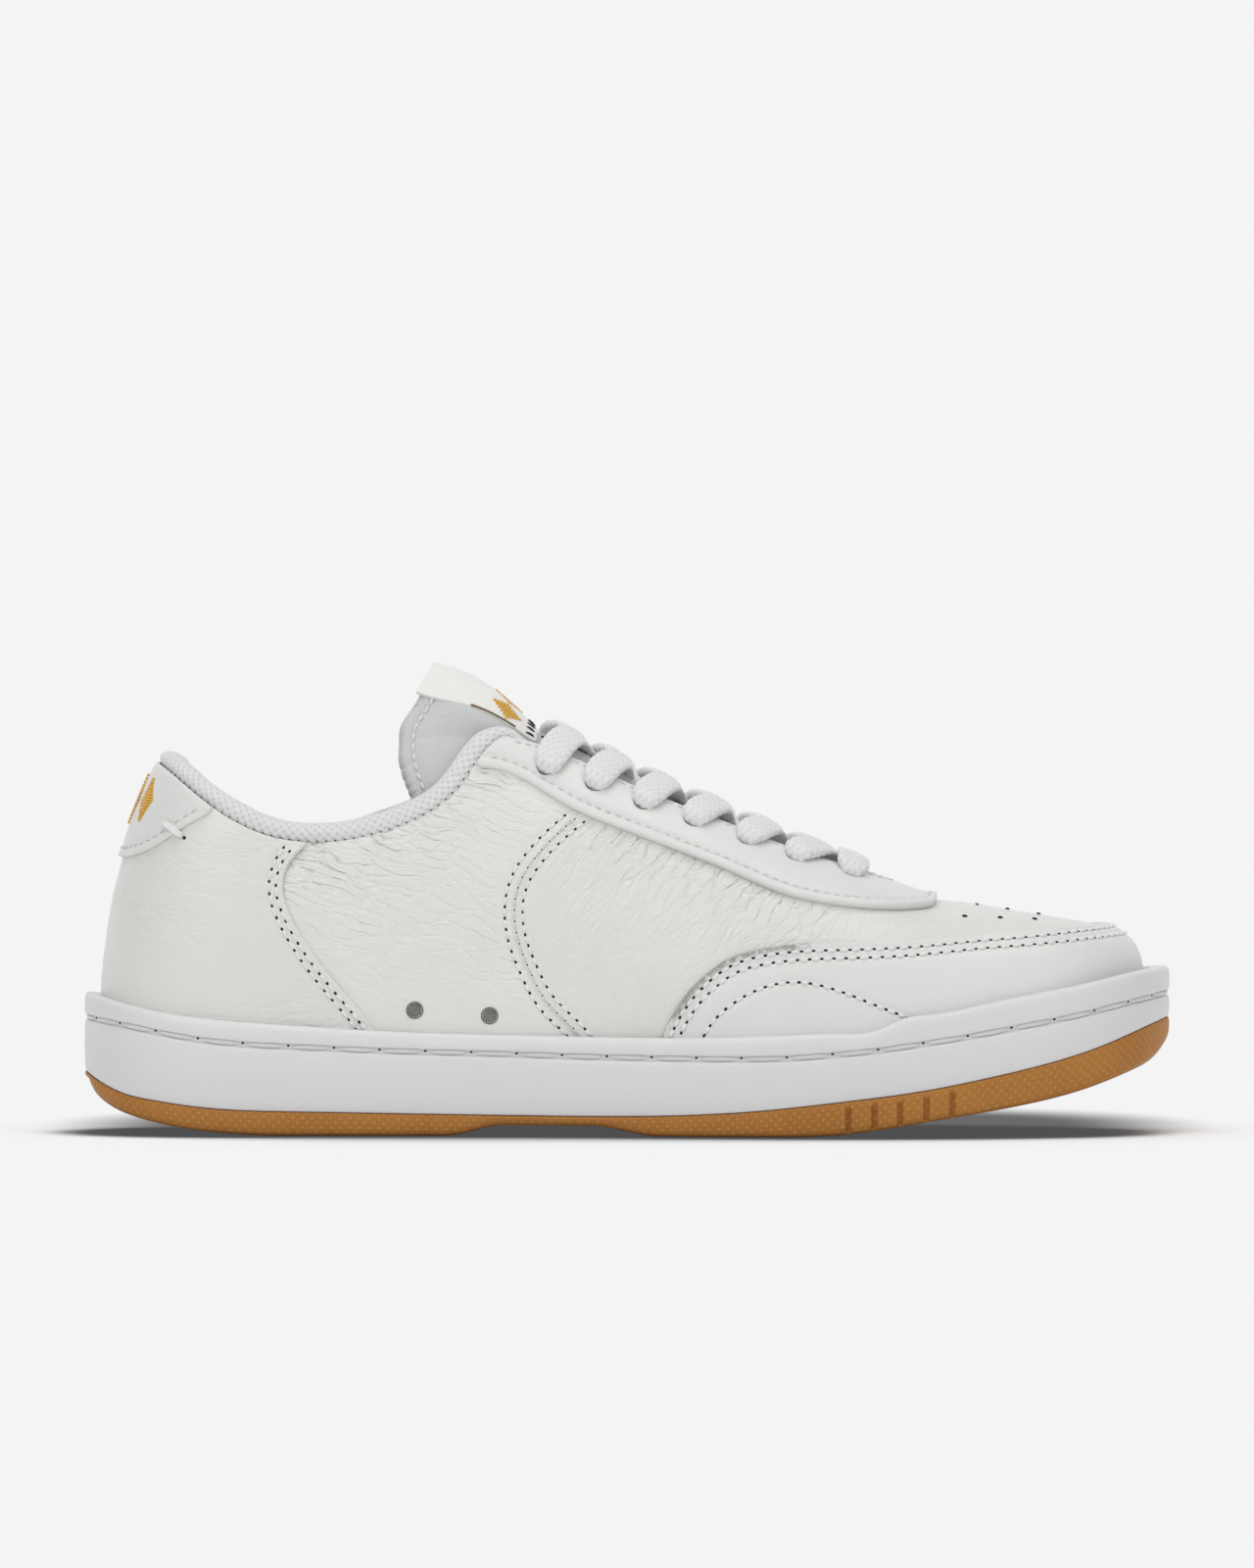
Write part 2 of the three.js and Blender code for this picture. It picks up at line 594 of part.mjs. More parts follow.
// A layer of the sockliner between two heights above the bed.
function sockliner([low, high], inset) {
  return plate(() => LINING_BOTTOM - inset, (x) => BED_Z(x) + low, (x) => BED_Z(x) + high);
}

// ---------------------------------------------------------------- upper
const leatherLayer = layer(-LEATHER, 0).subtract(opening()).subtract(hiddenHoles).subtract(ventHoles);
const half = GAP / 2;
const heelQuarter = () => mainBody(leatherLayer.intersect(behind(shifted(HEEL_SEAM, -half))));
const vamp = () => mainBody(leatherLayer.intersect(ahead(shifted(SIDE_SEAM, half))));
function midPanel(medial) {
  const front = leatherLayer.intersect(ahead(shifted(HEEL_SEAM, half)));
  const band = front.intersect(behind(shifted(SIDE_SEAM, -half)));
  return mainBody(medial ? band.intersect(medialHalf()) : band.subtract(medialHalf()));
}

const overlayLayer = layer(GAP, GAP + OVERLAY).subtract(opening());
const toeOverlay = () => mainBody(overlayLayer.intersect(below(TOE_SEAM)));
const heelTab = () => mainBody(overlayLayer.intersect(above(HEEL_TAB_EDGE)));
function eyestay() {
  const band = layer(GAP, GAP + EYESTAY).subtract(opening()).subtract(eyeletHoles);
  return mainBody(band.intersect(above(EYESTAY_EDGE)));
}

const stiffenerLayer = layer(STIFFENER_TOP - STIFFENER, STIFFENER_TOP)
  .subtract(opening(shifted(TOP_LINE, 0, -1)));
const COUNTER_EDGE = [[-78, 12], [-84, 34], [-98, 54], [-120, 62], [-160, 63]];
const heelCounter = () => mainBody(stiffenerLayer.intersect(behind(COUNTER_EDGE)));
const PUFF_EDGE = [[92, 12], [95, 34], [101, 52], [112, 70]];
const toePuff = () => mainBody(stiffenerLayer.intersect(ahead(PUFF_EDGE)));

// Depth of the collar's padding below the dome.
const padding = (p) => COLLAR_PADDING * smooth(p.z, ...PADDED_Z) * (1 - smooth(p.x, ...PADDED_X));
const insideOpening = opening(shifted(TOP_LINE, 0, -0.5));
function collarFoam() {
  const pad = layer((p) => STIFFENER_TOP - STIFFENER - padding(p), STIFFENER_TOP);
  const edge = [
    [-160, 64], [-118, 64], [-96, 56], [-72, 58], [-60, 64], [-52, 76], [-46, 90], [-45.4, 200],
  ];
  return mainBody(pad.subtract(insideOpening).intersect(above(edge)));
}
function collarLining() {
  const skin = layer((p) => LINING_BOTTOM - padding(p), (p) => LINING_TOP - padding(p));
  const thick = layer((p) => LINING_BOTTOM - padding(p), -0.25);
  const roll = thick.subtract(below(shifted(TOP_LINE, 0, GAP)));
  const open = skin.add(roll).subtract(opening(ROLL_TOP));
  const punched = open.subtract(hiddenHoles).subtract(ventHoles);
  return mainBody(punched.intersect(behind(shifted(LINING_SEAM, -half))));
}
function upperLining() {
  const open = layer(LINING_BOTTOM, LINING_TOP).subtract(insideOpening);
  const punched = open.subtract(hiddenHoles).subtract(ventHoles);
  return mainBody(punched.intersect(ahead(shifted(LINING_SEAM, half))));
}
function ventEyelet(at) {
  const flange = rivet(at, VENT_R, GAP, GAP + 0.8, 16);
  const barrel = rivet(at, VENT_R - 0.7, -2.2, GAP + 0.4, 16);
  return flange.add(barrel).subtract(rivet(at, 1.15, -9, 9, 12));
}

// ---------------------------------------------------------------- tongue
// The tongue swells up between the two sides of the eyestay, and above the collar.
function swell(p) {
  const across = Math.abs(p.y - CREST_Y(p.x)) / (THROAT(Math.min(p.x, 60)) - 1);
  const bump = Math.max(0, 1 - across * across);
  return bump * (SWELL_LACED + SWELL_FREE * (1 - smooth(p.x, ...SWELL_X)));
}
const tongueLayer = (low, high) => layer((p) => low + swell(p), (p) => high + swell(p));
function tongueShape(endShift) {
  const line = [...shifted(TONGUE_END, endShift).reverse(), [-50 + endShift, HIGH]];
  const strip = [...TONGUE_EDGE, [69, HIGH], [-70, HIGH], [-70, 96]];
  return sidePrism(strip).intersect(ahead([[-56 + endShift, 60], ...line]));
}
function tonguePart(low, high) {
  return mainBody(tongueLayer(low, high).intersect(tongueShape(BINDING_WIDTH + GAP)));
}
const FACE_LOW = TONGUE_TOP - TONGUE_FACE;
const FOAM_LOW = FACE_LOW - GAP - TONGUE_FOAM;
const TONGUE_BOTTOM = FOAM_LOW - GAP - TONGUE_LINING;
function tongueBinding() {
  const strip = tongueLayer(TONGUE_BOTTOM, TONGUE_TOP).intersect(tongueShape(0));
  return mainBody(strip.subtract(tongueShape(BINDING_WIDTH)));
}
function tongueLabel() {
  const low = TONGUE_TOP + GAP;
  const patch = tongueLayer(low, low + LABEL_THICKNESS).intersect(tongueShape(0.5));
  const stations = [-62, -50, -38, LABEL_FRONT_X];
  const edge = (side) => stations.map((x) => [x, CREST_Y(x) + side * LABEL_HALF(x)]);
  return mainBody(patch.intersect(planPrism([...edge(-1), ...edge(1).reverse()], 90, HIGH)));
}

// ---------------------------------------------------------------- lace
// A ribbon through stations, each with the place on the skin, the depth, the width and the thickness.
function ribbon(stations) {
  const centres = stations.map((s) => s.point.clone().addScaledVector(s.normal, s.depth));
  const points = [];
  stations.forEach((s, i) => {
    const [before, after] = [centres[Math.max(0, i - 1)], centres[Math.min(centres.length - 1, i + 1)]];
    const run = after.clone().sub(before).normalize();
    const wide = s.normal.clone().cross(run).normalize();
    const thick = run.clone().cross(wide).normalize();
    for (const [a, b] of [[-1, -1], [1, -1], [1, 1], [-1, 1]]) {
      const corner = centres[i].clone().addScaledVector(wide, (a * s.width) / 2);
      points.push(corner.addScaledVector(thick, (b * s.thick) / 2));
    }
  });
  const faces = [];
  const last = 4 * (stations.length - 1);
  for (let i = 0; i < stations.length - 1; i++)
    for (let k = 0; k < 4; k++) {
      const [a, b] = [4 * i + k, 4 * i + ((k + 1) % 4)];
      faces.push([a, b, b + 4], [a, b + 4, a + 4]);
    }
  faces.push([2, 1, 0], [3, 2, 0], [last, last + 1, last + 2], [last, last + 2, last + 3]);
  return solid(geometryOf(points, faces));
}

// A strand from under one eyelet, across the tongue, over the far edge and into the next eyelet.
function strand(from, to, lift) {
  const stations = [];
  const steps = 10;
  for (let i = 0; i <= steps; i++) {
    const t = i / steps;
    const x = from.point.x + (to.point.x - from.point.x) * t;
    const y = from.point.y + (to.point.y - from.point.y) * t;
    const at = fromAbove(x, y);
    const across = ((y - CREST_Y(x)) * to.side) / THROAT(x);
    const bunch = smooth(t, 0, 0.16) * smooth(1 - t, 0, 0.16);
    const low = LACE_UNDER + at.rise + (lift + 1) * smooth(across, -0.65, -0.15);
    const depth = Math.max(low, low + (LACE_OVER - low) * smooth(across, -0.1, 0.7));
    const width = LACE_BUNCH + (LACE_WIDTH - LACE_BUNCH) * bunch;
    stations.push({ ...at, depth, width, thick: LACE_THICKNESS });
  }
  return ribbon(stations);
}

// The straight strand over the front pair of eyelets.
function laceBar(from, to) {
  const stations = [];
  const steps = 10;
  for (let i = 0; i <= steps; i++) {
    const t = i / steps;
    const y = from.point.y + (to.point.y - from.point.y) * t;
    const bunch = Math.min(smooth(t, 0, 0.2), smooth(1 - t, 0, 0.2));
    const width = LACE_BUNCH + (LACE_WIDTH - LACE_BUNCH) * bunch;
    stations.push({ ...fromAbove(from.point.x, y), depth: LACE_OVER, width, thick: LACE_THICKNESS });
  }
  return ribbon(stations);
}

// The lace's end lies between lining and tongue, and carries the tip.
const TAIL = 9;
const TIP = 9;
const LAST_ROW = EYELET_X.length - 1;
const pick = (row, side) => eyelets.find((e) => e.x === EYELET_X[row] && e.side === side);
function laceTail(eyelet, start, end, width) {
  const stations = [];
  const steps = 3;
  for (let i = 0; i <= steps; i++) {
    const d = start + ((end - start) * i) / steps;
    const at = fromSide(eyelet.point.x - 0.5 * d, eyelet.point.z - 0.75 * d, eyelet.side);
    stations.push({ ...at, depth: LACE_UNDER, width, thick: LACE_THICKNESS });
  }
  return ribbon(stations);
}

function lace() {
  let body = laceBar(pick(0, -1), pick(0, 1));
  for (const e of eyelets) body = body.add(rivet(e, LACE_BUNCH / 2 + 0.25, LACE_UNDER, LACE_OVER, 8));
  for (let row = 0; row < LAST_ROW; row++)
    for (const side of [-1, 1]) {
      const upper = (row % 2 ? 1 : -1) === side;
      const lift = upper ? LACE_THICKNESS + GAP : 0;
      body = body.add(strand(pick(row, side), pick(row + 1, -side), lift));
    }
  for (const side of [-1, 1]) {
    body = body.add(laceTail(pick(LAST_ROW, side), 0, TAIL, LACE_BUNCH));
  }
  return mainBody(body);
}
function laceTip(side) {
  const start = TAIL + GAP;
  return laceTail(pick(LAST_ROW, side), start, start + TIP, LACE_BUNCH + 0.3);
}

// ---------------------------------------------------------------- assembly
const WHITE_LEATHER = ["#e6e5e0", 0.55, 0];
const WHITE_RUBBER = ["#ececee", 0.6, 0];
const GUM = ["#b07a3c", 0.7, 0];
const KNIT = ["#e8e8e8", 0.95, 0];
const THREAD = ["#f1f0ec", 0.8, 0];
const FOAM = ["#d9d2c0", 0.95, 0];
const BOARD_LOOK = ["#c9b48c", 0.9, 0];
const LABEL_LOOK = ["#eeece6", 0.7, 0];
const METAL = ["#b9babb", 0.35, 1];
const PLASTIC = ["#e4e4e2", 0.35, 0];

const group = new THREE.Group();
group.name = "court_shoe";
function place(name, manifold, [colour, roughness, metalness]) {
  const mesh = new THREE.Mesh(
    geometryFrom(manifold),
    new THREE.MeshStandardMaterial({ color: colour, roughness, metalness }),
  );
  mesh.geometry.translate(-MIDDLE[0], -MIDDLE[1], 0);
  mesh.name = name;
  group.add(mesh);
}

place("outsole", outsole(), GUM);
place("cupsole", cupsole(), WHITE_RUBBER);
place("sidewall_stitching", grooveBand(GROOVE_DEPTH - 0.3, 0.1, GROOVE_HALF - 0.3), THREAD);
place("midsole_insert", midsoleInsert(), FOAM);
place("strobel_board", strobelBoard(), BOARD_LOOK);
place("sockliner_foam", sockliner(SOCKLINER_FOAM, 1.4), FOAM);
place("sockliner_cover", sockliner(SOCKLINER_COVER, 1.7), KNIT);
place("heel_quarter", heelQuarter(), WHITE_LEATHER);
place("medial_mid_panel", midPanel(true), WHITE_LEATHER);
place("lateral_mid_panel", midPanel(false), WHITE_LEATHER);
place("vamp", vamp(), WHITE_LEATHER);
place("toe_overlay", toeOverlay(), WHITE_LEATHER);
place("heel_tab", heelTab(), WHITE_LEATHER);
place("eyestay", eyestay(), WHITE_LEATHER);
place("heel_counter", heelCounter(), BOARD_LOOK);
place("toe_puff", toePuff(), BOARD_LOOK);
place("collar_foam", collarFoam(), FOAM);
place("collar_lining", collarLining(), KNIT);
place("upper_lining", upperLining(), KNIT);
place("vent_eyelet_front", ventEyelet(vents[0]), METAL);
place("vent_eyelet_rear", ventEyelet(vents[1]), METAL);
place("tongue_face", tonguePart(FACE_LOW, TONGUE_TOP), KNIT);
place("tongue_foam", tonguePart(FOAM_LOW, FACE_LOW - GAP), FOAM);
place("tongue_lining", tonguePart(TONGUE_BOTTOM, FOAM_LOW - GAP), KNIT);
place("tongue_binding", tongueBinding(), WHITE_LEATHER);
place("tongue_label", tongueLabel(), LABEL_LOOK);
place("lace", lace(), THREAD);
place("lace_tip_medial", laceTip(-1), PLASTIC);
place("lace_tip_lateral", laceTip(1), PLASTIC);

export default group;
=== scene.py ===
"""Looks of a left low-top leather court shoe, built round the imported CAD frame."""
import json
import math
from functools import reduce

import bpy
import numpy as np
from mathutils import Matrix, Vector
from mathutils.bvhtree import BVHTree

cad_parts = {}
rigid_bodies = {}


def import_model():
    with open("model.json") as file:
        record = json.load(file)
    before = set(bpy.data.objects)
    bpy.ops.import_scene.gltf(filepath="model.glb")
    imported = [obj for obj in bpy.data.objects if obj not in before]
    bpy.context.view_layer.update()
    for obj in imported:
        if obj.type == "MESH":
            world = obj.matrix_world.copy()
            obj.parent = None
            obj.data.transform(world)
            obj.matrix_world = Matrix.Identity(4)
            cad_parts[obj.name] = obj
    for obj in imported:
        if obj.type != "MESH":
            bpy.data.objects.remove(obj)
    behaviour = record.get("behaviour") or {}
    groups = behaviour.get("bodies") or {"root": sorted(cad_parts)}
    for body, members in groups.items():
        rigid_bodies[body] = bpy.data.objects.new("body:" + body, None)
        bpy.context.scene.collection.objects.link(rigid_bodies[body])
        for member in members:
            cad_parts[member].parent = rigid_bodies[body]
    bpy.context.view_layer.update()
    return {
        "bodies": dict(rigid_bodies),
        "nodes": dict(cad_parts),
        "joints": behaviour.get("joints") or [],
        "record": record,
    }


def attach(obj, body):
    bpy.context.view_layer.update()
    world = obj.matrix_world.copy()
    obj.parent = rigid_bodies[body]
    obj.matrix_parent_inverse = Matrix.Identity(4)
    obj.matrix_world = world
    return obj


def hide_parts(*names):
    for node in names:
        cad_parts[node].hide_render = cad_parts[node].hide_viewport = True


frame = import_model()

MM = 0.001

# ------------------------------------------------------------------ driving dimensions (mm)
# The shoe's own axes: x to the toe, y to the outer side from the heel's middle, z up.
MIDDLE = np.array([-0.47, 1.57, 0.0])  # the frame's origin in those axes
STEP = 1.15  # spacing of the fine surface lattice
PROFILE_LENGTH = 135.0  # the longest way over the shoe from its feather edge to its crest
LEATHER = 1.35
PANEL_FOOT = 6.0  # how far the panels go down behind the cupsole's rim
CLOTH_SCALE = 20.0  # padded fabric is filled at this many times its size, where cloth settles well

# Plan of the upper at its feather edge, heel to toe: x, medial y, lateral y.
FEATHER = [
    (-144.4, 0, 0), (-141.4, -14.5, 14.5), (-132, -25.5, 25.5), (-114, -32, 32.5), (-86, -33, 35),
    (-56, -32, 38), (-26, -32.5, 43), (4, -38, 47.5), (34, -44, 49), (62, -45.5, 46.5),
    (86, -43, 41), (106, -38, 34), (122, -31, 26), (133, -20.5, 14), (138, -10, 3.5),
    (139.3, -3.5, -3.5),
]
# At the same stations: crest x, rise and run of the profile's handles, and its turn in degrees.
PROFILE = [
    (-80, 0.44, 0.7, 90), (-79.6, 0.45, 0.68, 66), (-78.5, 0.46, 0.66, 42), (-76, 0.48, 0.63, 22),
    (-69, 0.5, 0.6, 7), (-54, 0.53, 0.62, 0), (-32, 0.56, 0.66, 0), (-6, 0.57, 0.64, 0),
    (22, 0.58, 0.61, 0), (48, 0.6, 0.61, -4), (68, 0.62, 0.63, -12), (82, 0.66, 0.67, -26),
    (91, 0.72, 0.74, -40), (96.5, 0.79, 0.82, -60), (99.3, 0.83, 0.88, -80), (100, 0.85, 0.9, -90),
]


# ------------------------------------------------------------------ maths
class Curve:
    """Natural cubic through (x, y) knots, straight beyond its ends."""

    def __init__(self, knots):
        self.x, self.y = np.array(knots, float).T
        n = len(self.x)
        h = np.diff(self.x)
        rows = np.eye(n)
        bend = np.zeros(n)
        for i in range(1, n - 1):
            rows[i, i - 1 : i + 2] = h[i - 1], 2 * (h[i - 1] + h[i]), h[i]
            bend[i] = 6 * ((self.y[i + 1] - self.y[i]) / h[i] - (self.y[i] - self.y[i - 1]) / h[i - 1])
        self.m = np.linalg.solve(rows, bend)
        self.ends = (
            (self.y[1] - self.y[0]) / h[0] - h[0] * self.m[1] / 6,
            (self.y[-1] - self.y[-2]) / h[-1] + h[-1] * self.m[-2] / 6,
        )

    def __call__(self, x):
        x = np.asarray(x, float)
        i = np.clip(np.searchsorted(self.x, x) - 1, 0, len(self.x) - 2)
        h = self.x[i + 1] - self.x[i]
        a = (self.x[i + 1] - x) / h
        b = 1 - a
        inside = a * self.y[i] + b * self.y[i + 1]
        inside = inside + ((a**3 - a) * self.m[i] + (b**3 - b) * self.m[i + 1]) * h * h / 6
        low = self.y[0] + self.ends[0] * (x - self.x[0])
        high = self.y[-1] + self.ends[1] * (x - self.x[-1])
        return np.where(x < self.x[0], low, np.where(x > self.x[-1], high, inside))


# ------------------------------------------------------------------ outlines (mm)
# Heights at each x: the last's crest, the foot's bed, the gum's upper edge and the cupsole's rim.
CREST_Z = Curve([
    (-80, 134), (-66, 132.5), (-53, 128), (-45, 124), (-35, 117.5), (-24, 110.8), (-10, 103.6),
    (4, 96.5), (18, 90.2), (32, 84), (46, 77.9), (60, 72.2), (72, 67), (82, 63.7), (92, 62.4),
    (100, 61.3),
])
# the crest's way across, which turns a little to the inner side
CREST_Y = Curve([(-80, 0), (-30, -2), (40, -3), (100, -3)])
BED_Z = Curve([
    (-145, 21), (-100, 19), (-50, 16), (0, 13.5), (40, 13.3), (60, 15), (80, 18.2), (96, 21.5),
    (112, 25.6), (128, 30), (140, 34),
])
GUM_Z = Curve([
    (-148, 16.2), (-139.4, 11.6), (-128.7, 9.1), (-118, 7.6), (-91, 6.3), (-22, 5.2), (15.6, 5.6),
    (37, 7), (58.4, 9.4), (80, 12.3), (96, 15.4), (117, 20.4), (132, 25.4), (140, 28.7), (148, 31.6),
])
RIM_Z = Curve([
    (-148, 38.4), (-131.4, 34.2), (-112.7, 31.5), (-91.3, 29.9), (-64.6, 28.3), (-21.8, 27.1),
    (15.6, 26.8), (42, 27.6), (58, 28.1), (66.5, 28.8), (74.5, 32.2), (82.5, 33.3), (96, 35.9),
    (112, 39), (128, 42.2), (138.6, 44.4), (148, 45.6),
])
# Under the sole: where the edge lifts off the ground at the heel and at the toe, with the arch between.
HEEL_EDGE_Z = Curve([
    (-148.6, 17), (-147.2, 13.6), (-144.1, 9.6), (-140.8, 7.4), (-135.2, 5.1), (-127.7, 3.2),
    (-118, 1.5), (-98, 0),
])
TOE_EDGE_Z = Curve([
    (46, 0), (58.4, 0.7), (69, 2.1), (85.4, 4.8), (101.7, 7.5), (112.7, 9.7), (123.7, 12.6),
    (137.3, 17.6), (144.4, 22), (148, 26.5),
])
HEEL_FLAT = (-98, -50)
BALL_FLAT = (8, 46)
ARCH_RISE = 2.8
# how far the sole stands out past the feather edge
SOLE_OUT = Curve([(-148, 4), (-120, 4.8), (-60, 5.8), (60, 6), (110, 7), (140, 8.3)])
# the stitch groove's height, and the notches in the gum's side
GROOVE_Z = Curve([
    (-148, 31.5), (-139, 30.1), (-127.3, 27.9), (-116.4, 26.1), (-102.8, 24.8), (-91, 24.2),
    (-65.6, 23.1), (-40, 22.4), (-16, 21.7), (8, 21.3), (31, 21.2), (44, 21.5), (57, 22.5), (70, 23.9),
    (81.5, 25.6), (93, 27.4), (105, 29.6), (117, 31.8), (127, 33.9), (135.5, 35.9), (148, 38.4),
])
NOTCH_X = np.array([59.4, 66.2, 73, 79.8, 86.6])

# Lines seen from the side: x, z. They hold for both sides of the shoe.
TOP_LINE = [
    (-165, 101.6), (-129.5, 101.3), (-118.3, 93), (-110.6, 87.4), (-99.3, 81.8), (-88.1, 79.7),
    (-76.6, 80.2), (-65.4, 82.8), (-54.1, 87.8), (-47.5, 93), (-42.9, 99.2), (-38.4, 105),
    (-34.1, 108), (-28.2, 108.2), (-23, 105.5), (-12, 112), (0, 140),
]
HEEL_SEAM = [
    (-60, 12), (-69.7, 29.3), (-80.6, 42.7), (-85.4, 48.9), (-89.4, 55.1), (-92.9, 62.2),
    (-94, 68.4), (-92.9, 72.5), (-90.2, 76.5), (-86.3, 79.5), (-78, 84),
]
SIDE_SEAM = [
    (-5, 12), (-14.6, 27.5), (-22.6, 35.4), (-27.7, 44.4), (-30.7, 52.1), (-32, 60.6),
    (-29.8, 70.4), (-26.4, 75.5), (-21.8, 80.6), (-14.9, 86.6), (0, 98),
]
TOE_SEAM = [
    (4, 10), (9.5, 27), (13.5, 34.8), (17.8, 40.4), (22.3, 44.5), (26.9, 47.7), (32, 49.6),
    (38, 50.8), (63, 51.9), (101.7, 53.9), (128, 55.7), (150, 56.2),
]
TOE_ARC = [
    (17, 20), (20.5, 27.1), (23.3, 31.4), (27.9, 35.6), (33.8, 39.1), (40.5, 41.3), (47.5, 41.6),
    (54.1, 40.2), (60.6, 38), (67, 35.4), (73.4, 32.9), (84, 28),
]
EYESTAY_EDGE = [
    (-60, 100.6), (-42.9, 99.7), (-32.5, 97.9), (-25, 93.9), (-15.2, 88.2), (-2.5, 82.9),
    (12.4, 77.3), (27.5, 71.4), (42.5, 65.2), (57.6, 62.1), (72.6, 61.1), (80.1, 61.4),
    (83.4, 62.4), (84.4, 65), (84.8, 90),
]
HEEL_TAB_EDGE = [
    (-165, 74.6), (-140.2, 74.6), (-135.5, 75.3), (-130.2, 77.3), (-124.5, 80.8), (-119.1, 84.4),
    (-112, 88.6), (-104, 96),
]
TONGUE_EDGE = [
    (-70, 91), (-56, 90), (-50, 88.5), (-36, 86.5), (-15, 80), (12, 71), (40, 61.5), (60, 58), (80, 56),
]
TONGUE_END = [
    (-49.5, 136), (-51.8, 129), (-54.5, 125), (-58.2, 119), (-61.1, 114.7), (-62.2, 108),
    (-61.9, 103.5), (-60.2, 97), (-55, 84),
]
# Half the gap between the eyestays, and the round that ends it in front.
THROAT = Curve([
    (-60, 20), (-38, 15.6), (-24, 13), (-4, 13.7), (20, 14.2), (40, 14.1), (52, 12.9), (62, 10.2),
])
THROAT_END_X = 62
THROAT_END_LENGTH = 8
# The eyelets, front to back, and their distance from the crest.
EYELET_X = [60, 44.8, 31.7, 17.2, 3.6, -9.5, -22.6]
EYELET_OUT = Curve([
    (-22.6, 17), (-9.5, 17.4), (3.6, 18.1), (17.2, 18.4), (31.7, 18.6), (44.8, 18.2), (60, 16.2),
])
# Half the label's width, and how far the tongue's end stands up beyond its dome.
LABEL_HALF = Curve([(-62, 12.4), (-50, 12), (-38, 10.6), (-24, 9)])
TONGUE_LIFT = Curve([(-62, -0.8), (-54, -0.6), (-42, 1.7), (-30, 2.1), (-20, 0.8), (-10, 0), (70, 0)])
VENTS = [(-37.8, 32.5), (-58.2, 34)]  # x, z on the medial side
LACE_WIDTH = 8.2
LACE_THICK = 1.5


def smooth(x, low, high):
    """A rounded step from 0 at low to 1 at high."""
    t = np.clip((np.asarray(x, float) - low) / (high - low), 0, 1)
    return t * t * (3 - 2 * t)


def fade(distance, reach):
    """1 at a line, falling off over the reach on its positive side."""
    return np.exp(-np.maximum(distance, 0) / reach)


def hump(distance, middle, width, power=2):
    """A rounded ridge of height 1 along a middle distance."""
    return np.exp(-(((distance - middle) / width) ** power))


def least(*fields):
    """The smallest of several fields at each point: where it is positive, all of them are."""
    return reduce(np.minimum, fields)


def unit(v):
    return v / np.maximum(np.linalg.norm(v, axis=-1, keepdims=True), 1e-9)


def ring_angles(count):
    return np.linspace(0, 2 * math.pi, count + 1)[:-1]


def through(knots, spacing=0.6):
    """Evenly spaced points along a smooth curve through the knots, of any dimension."""
    knots = np.array(knots, float)
    chord = np.r_[0, np.cumsum(np.linalg.norm(np.diff(knots, axis=0), axis=1))]
    axes = [Curve(list(zip(chord, knots[:, k]))) for k in range(knots.shape[1])]
    s = np.linspace(0, chord[-1], int(chord[-1] / spacing) + 2)
    return np.stack([axis(s) for axis in axes], -1)


def along(points, closed=False):
    """The distance of each point along its line."""
    ring = np.vstack([points, points[:1]]) if closed else points
    return np.r_[0, np.cumsum(np.linalg.norm(np.diff(ring, axis=0), axis=1))]


def resample(points, s_new, *extras, closed=False):
    """Points at distances along a line, followed by the same places in other arrays."""
    ring = [np.vstack([a, a[:1]]) if closed else a for a in (points, *extras)]
    s = along(ring[0])
    return [np.stack([np.interp(s_new, s, a[:, k]) for k in range(a.shape[1])], -1) for a in ring]


def grain(points, scale, seed, octaves=4):
    """Smooth sum-of-waves noise at points, about -1 to 1, the same on each run."""
    rng = np.random.default_rng(seed)
    total = np.zeros(len(points))
    for octave in range(octaves):
        for _ in range(7):
            way = rng.normal(size=3)
            way *= (2**octave) / (scale * np.linalg.norm(way))
            total += np.sin(points @ way * 2 * math.pi + rng.uniform(0, 6.28)) / 2**octave
    return total / 6


def settle(points, rounds):
    """Smooths the zigzag out of a line in place, with its ends held."""
    for _ in range(rounds):
        points[1:-1] = points[1:-1] / 2 + (points[:-2] + points[2:]) / 4


# ------------------------------------------------------------------ the master surface
STATION_U = np.array([
    0, *np.cumsum([
        (math.hypot(b[0] - a[0], b[1] - a[1]) + math.hypot(b[0] - a[0], b[2] - a[2])) / 2
        for a, b in zip(FEATHER, FEATHER[1:])
    ])
])
STATION_U = STATION_U / STATION_U[-1]


def around(pick):
    """A closed curve over w: heel 0, medial side, toe 1, lateral side, heel 2."""
    once = [(u, pick(f, 1)) for u, f in zip(STATION_U[:-1], FEATHER)]
    once += [(2 - u, pick(f, 2)) for u, f in zip(STATION_U[:0:-1], FEATHER[:0:-1])]
    return Curve([(u + shift, v) for shift in (-2, 0, 2) for u, v in once])


FEATHER_X = around(lambda f, side: f[0])
FEATHER_Y = around(lambda f, side: f[side])
CREST_X, RISE, RUN, TURN = (Curve([(u, p[k]) for u, p in zip(STATION_U, PROFILE)]) for k in range(4))


def outward(w):
    """Unit direction out of the feather edge, in plan."""
    h = 1e-3
    t = unit(np.stack([FEATHER_X(w + h) - FEATHER_X(w - h), FEATHER_Y(w + h) - FEATHER_Y(w - h)], -1))
    return np.stack([t[..., 1], -t[..., 0], np.zeros_like(t[..., 0])], -1)


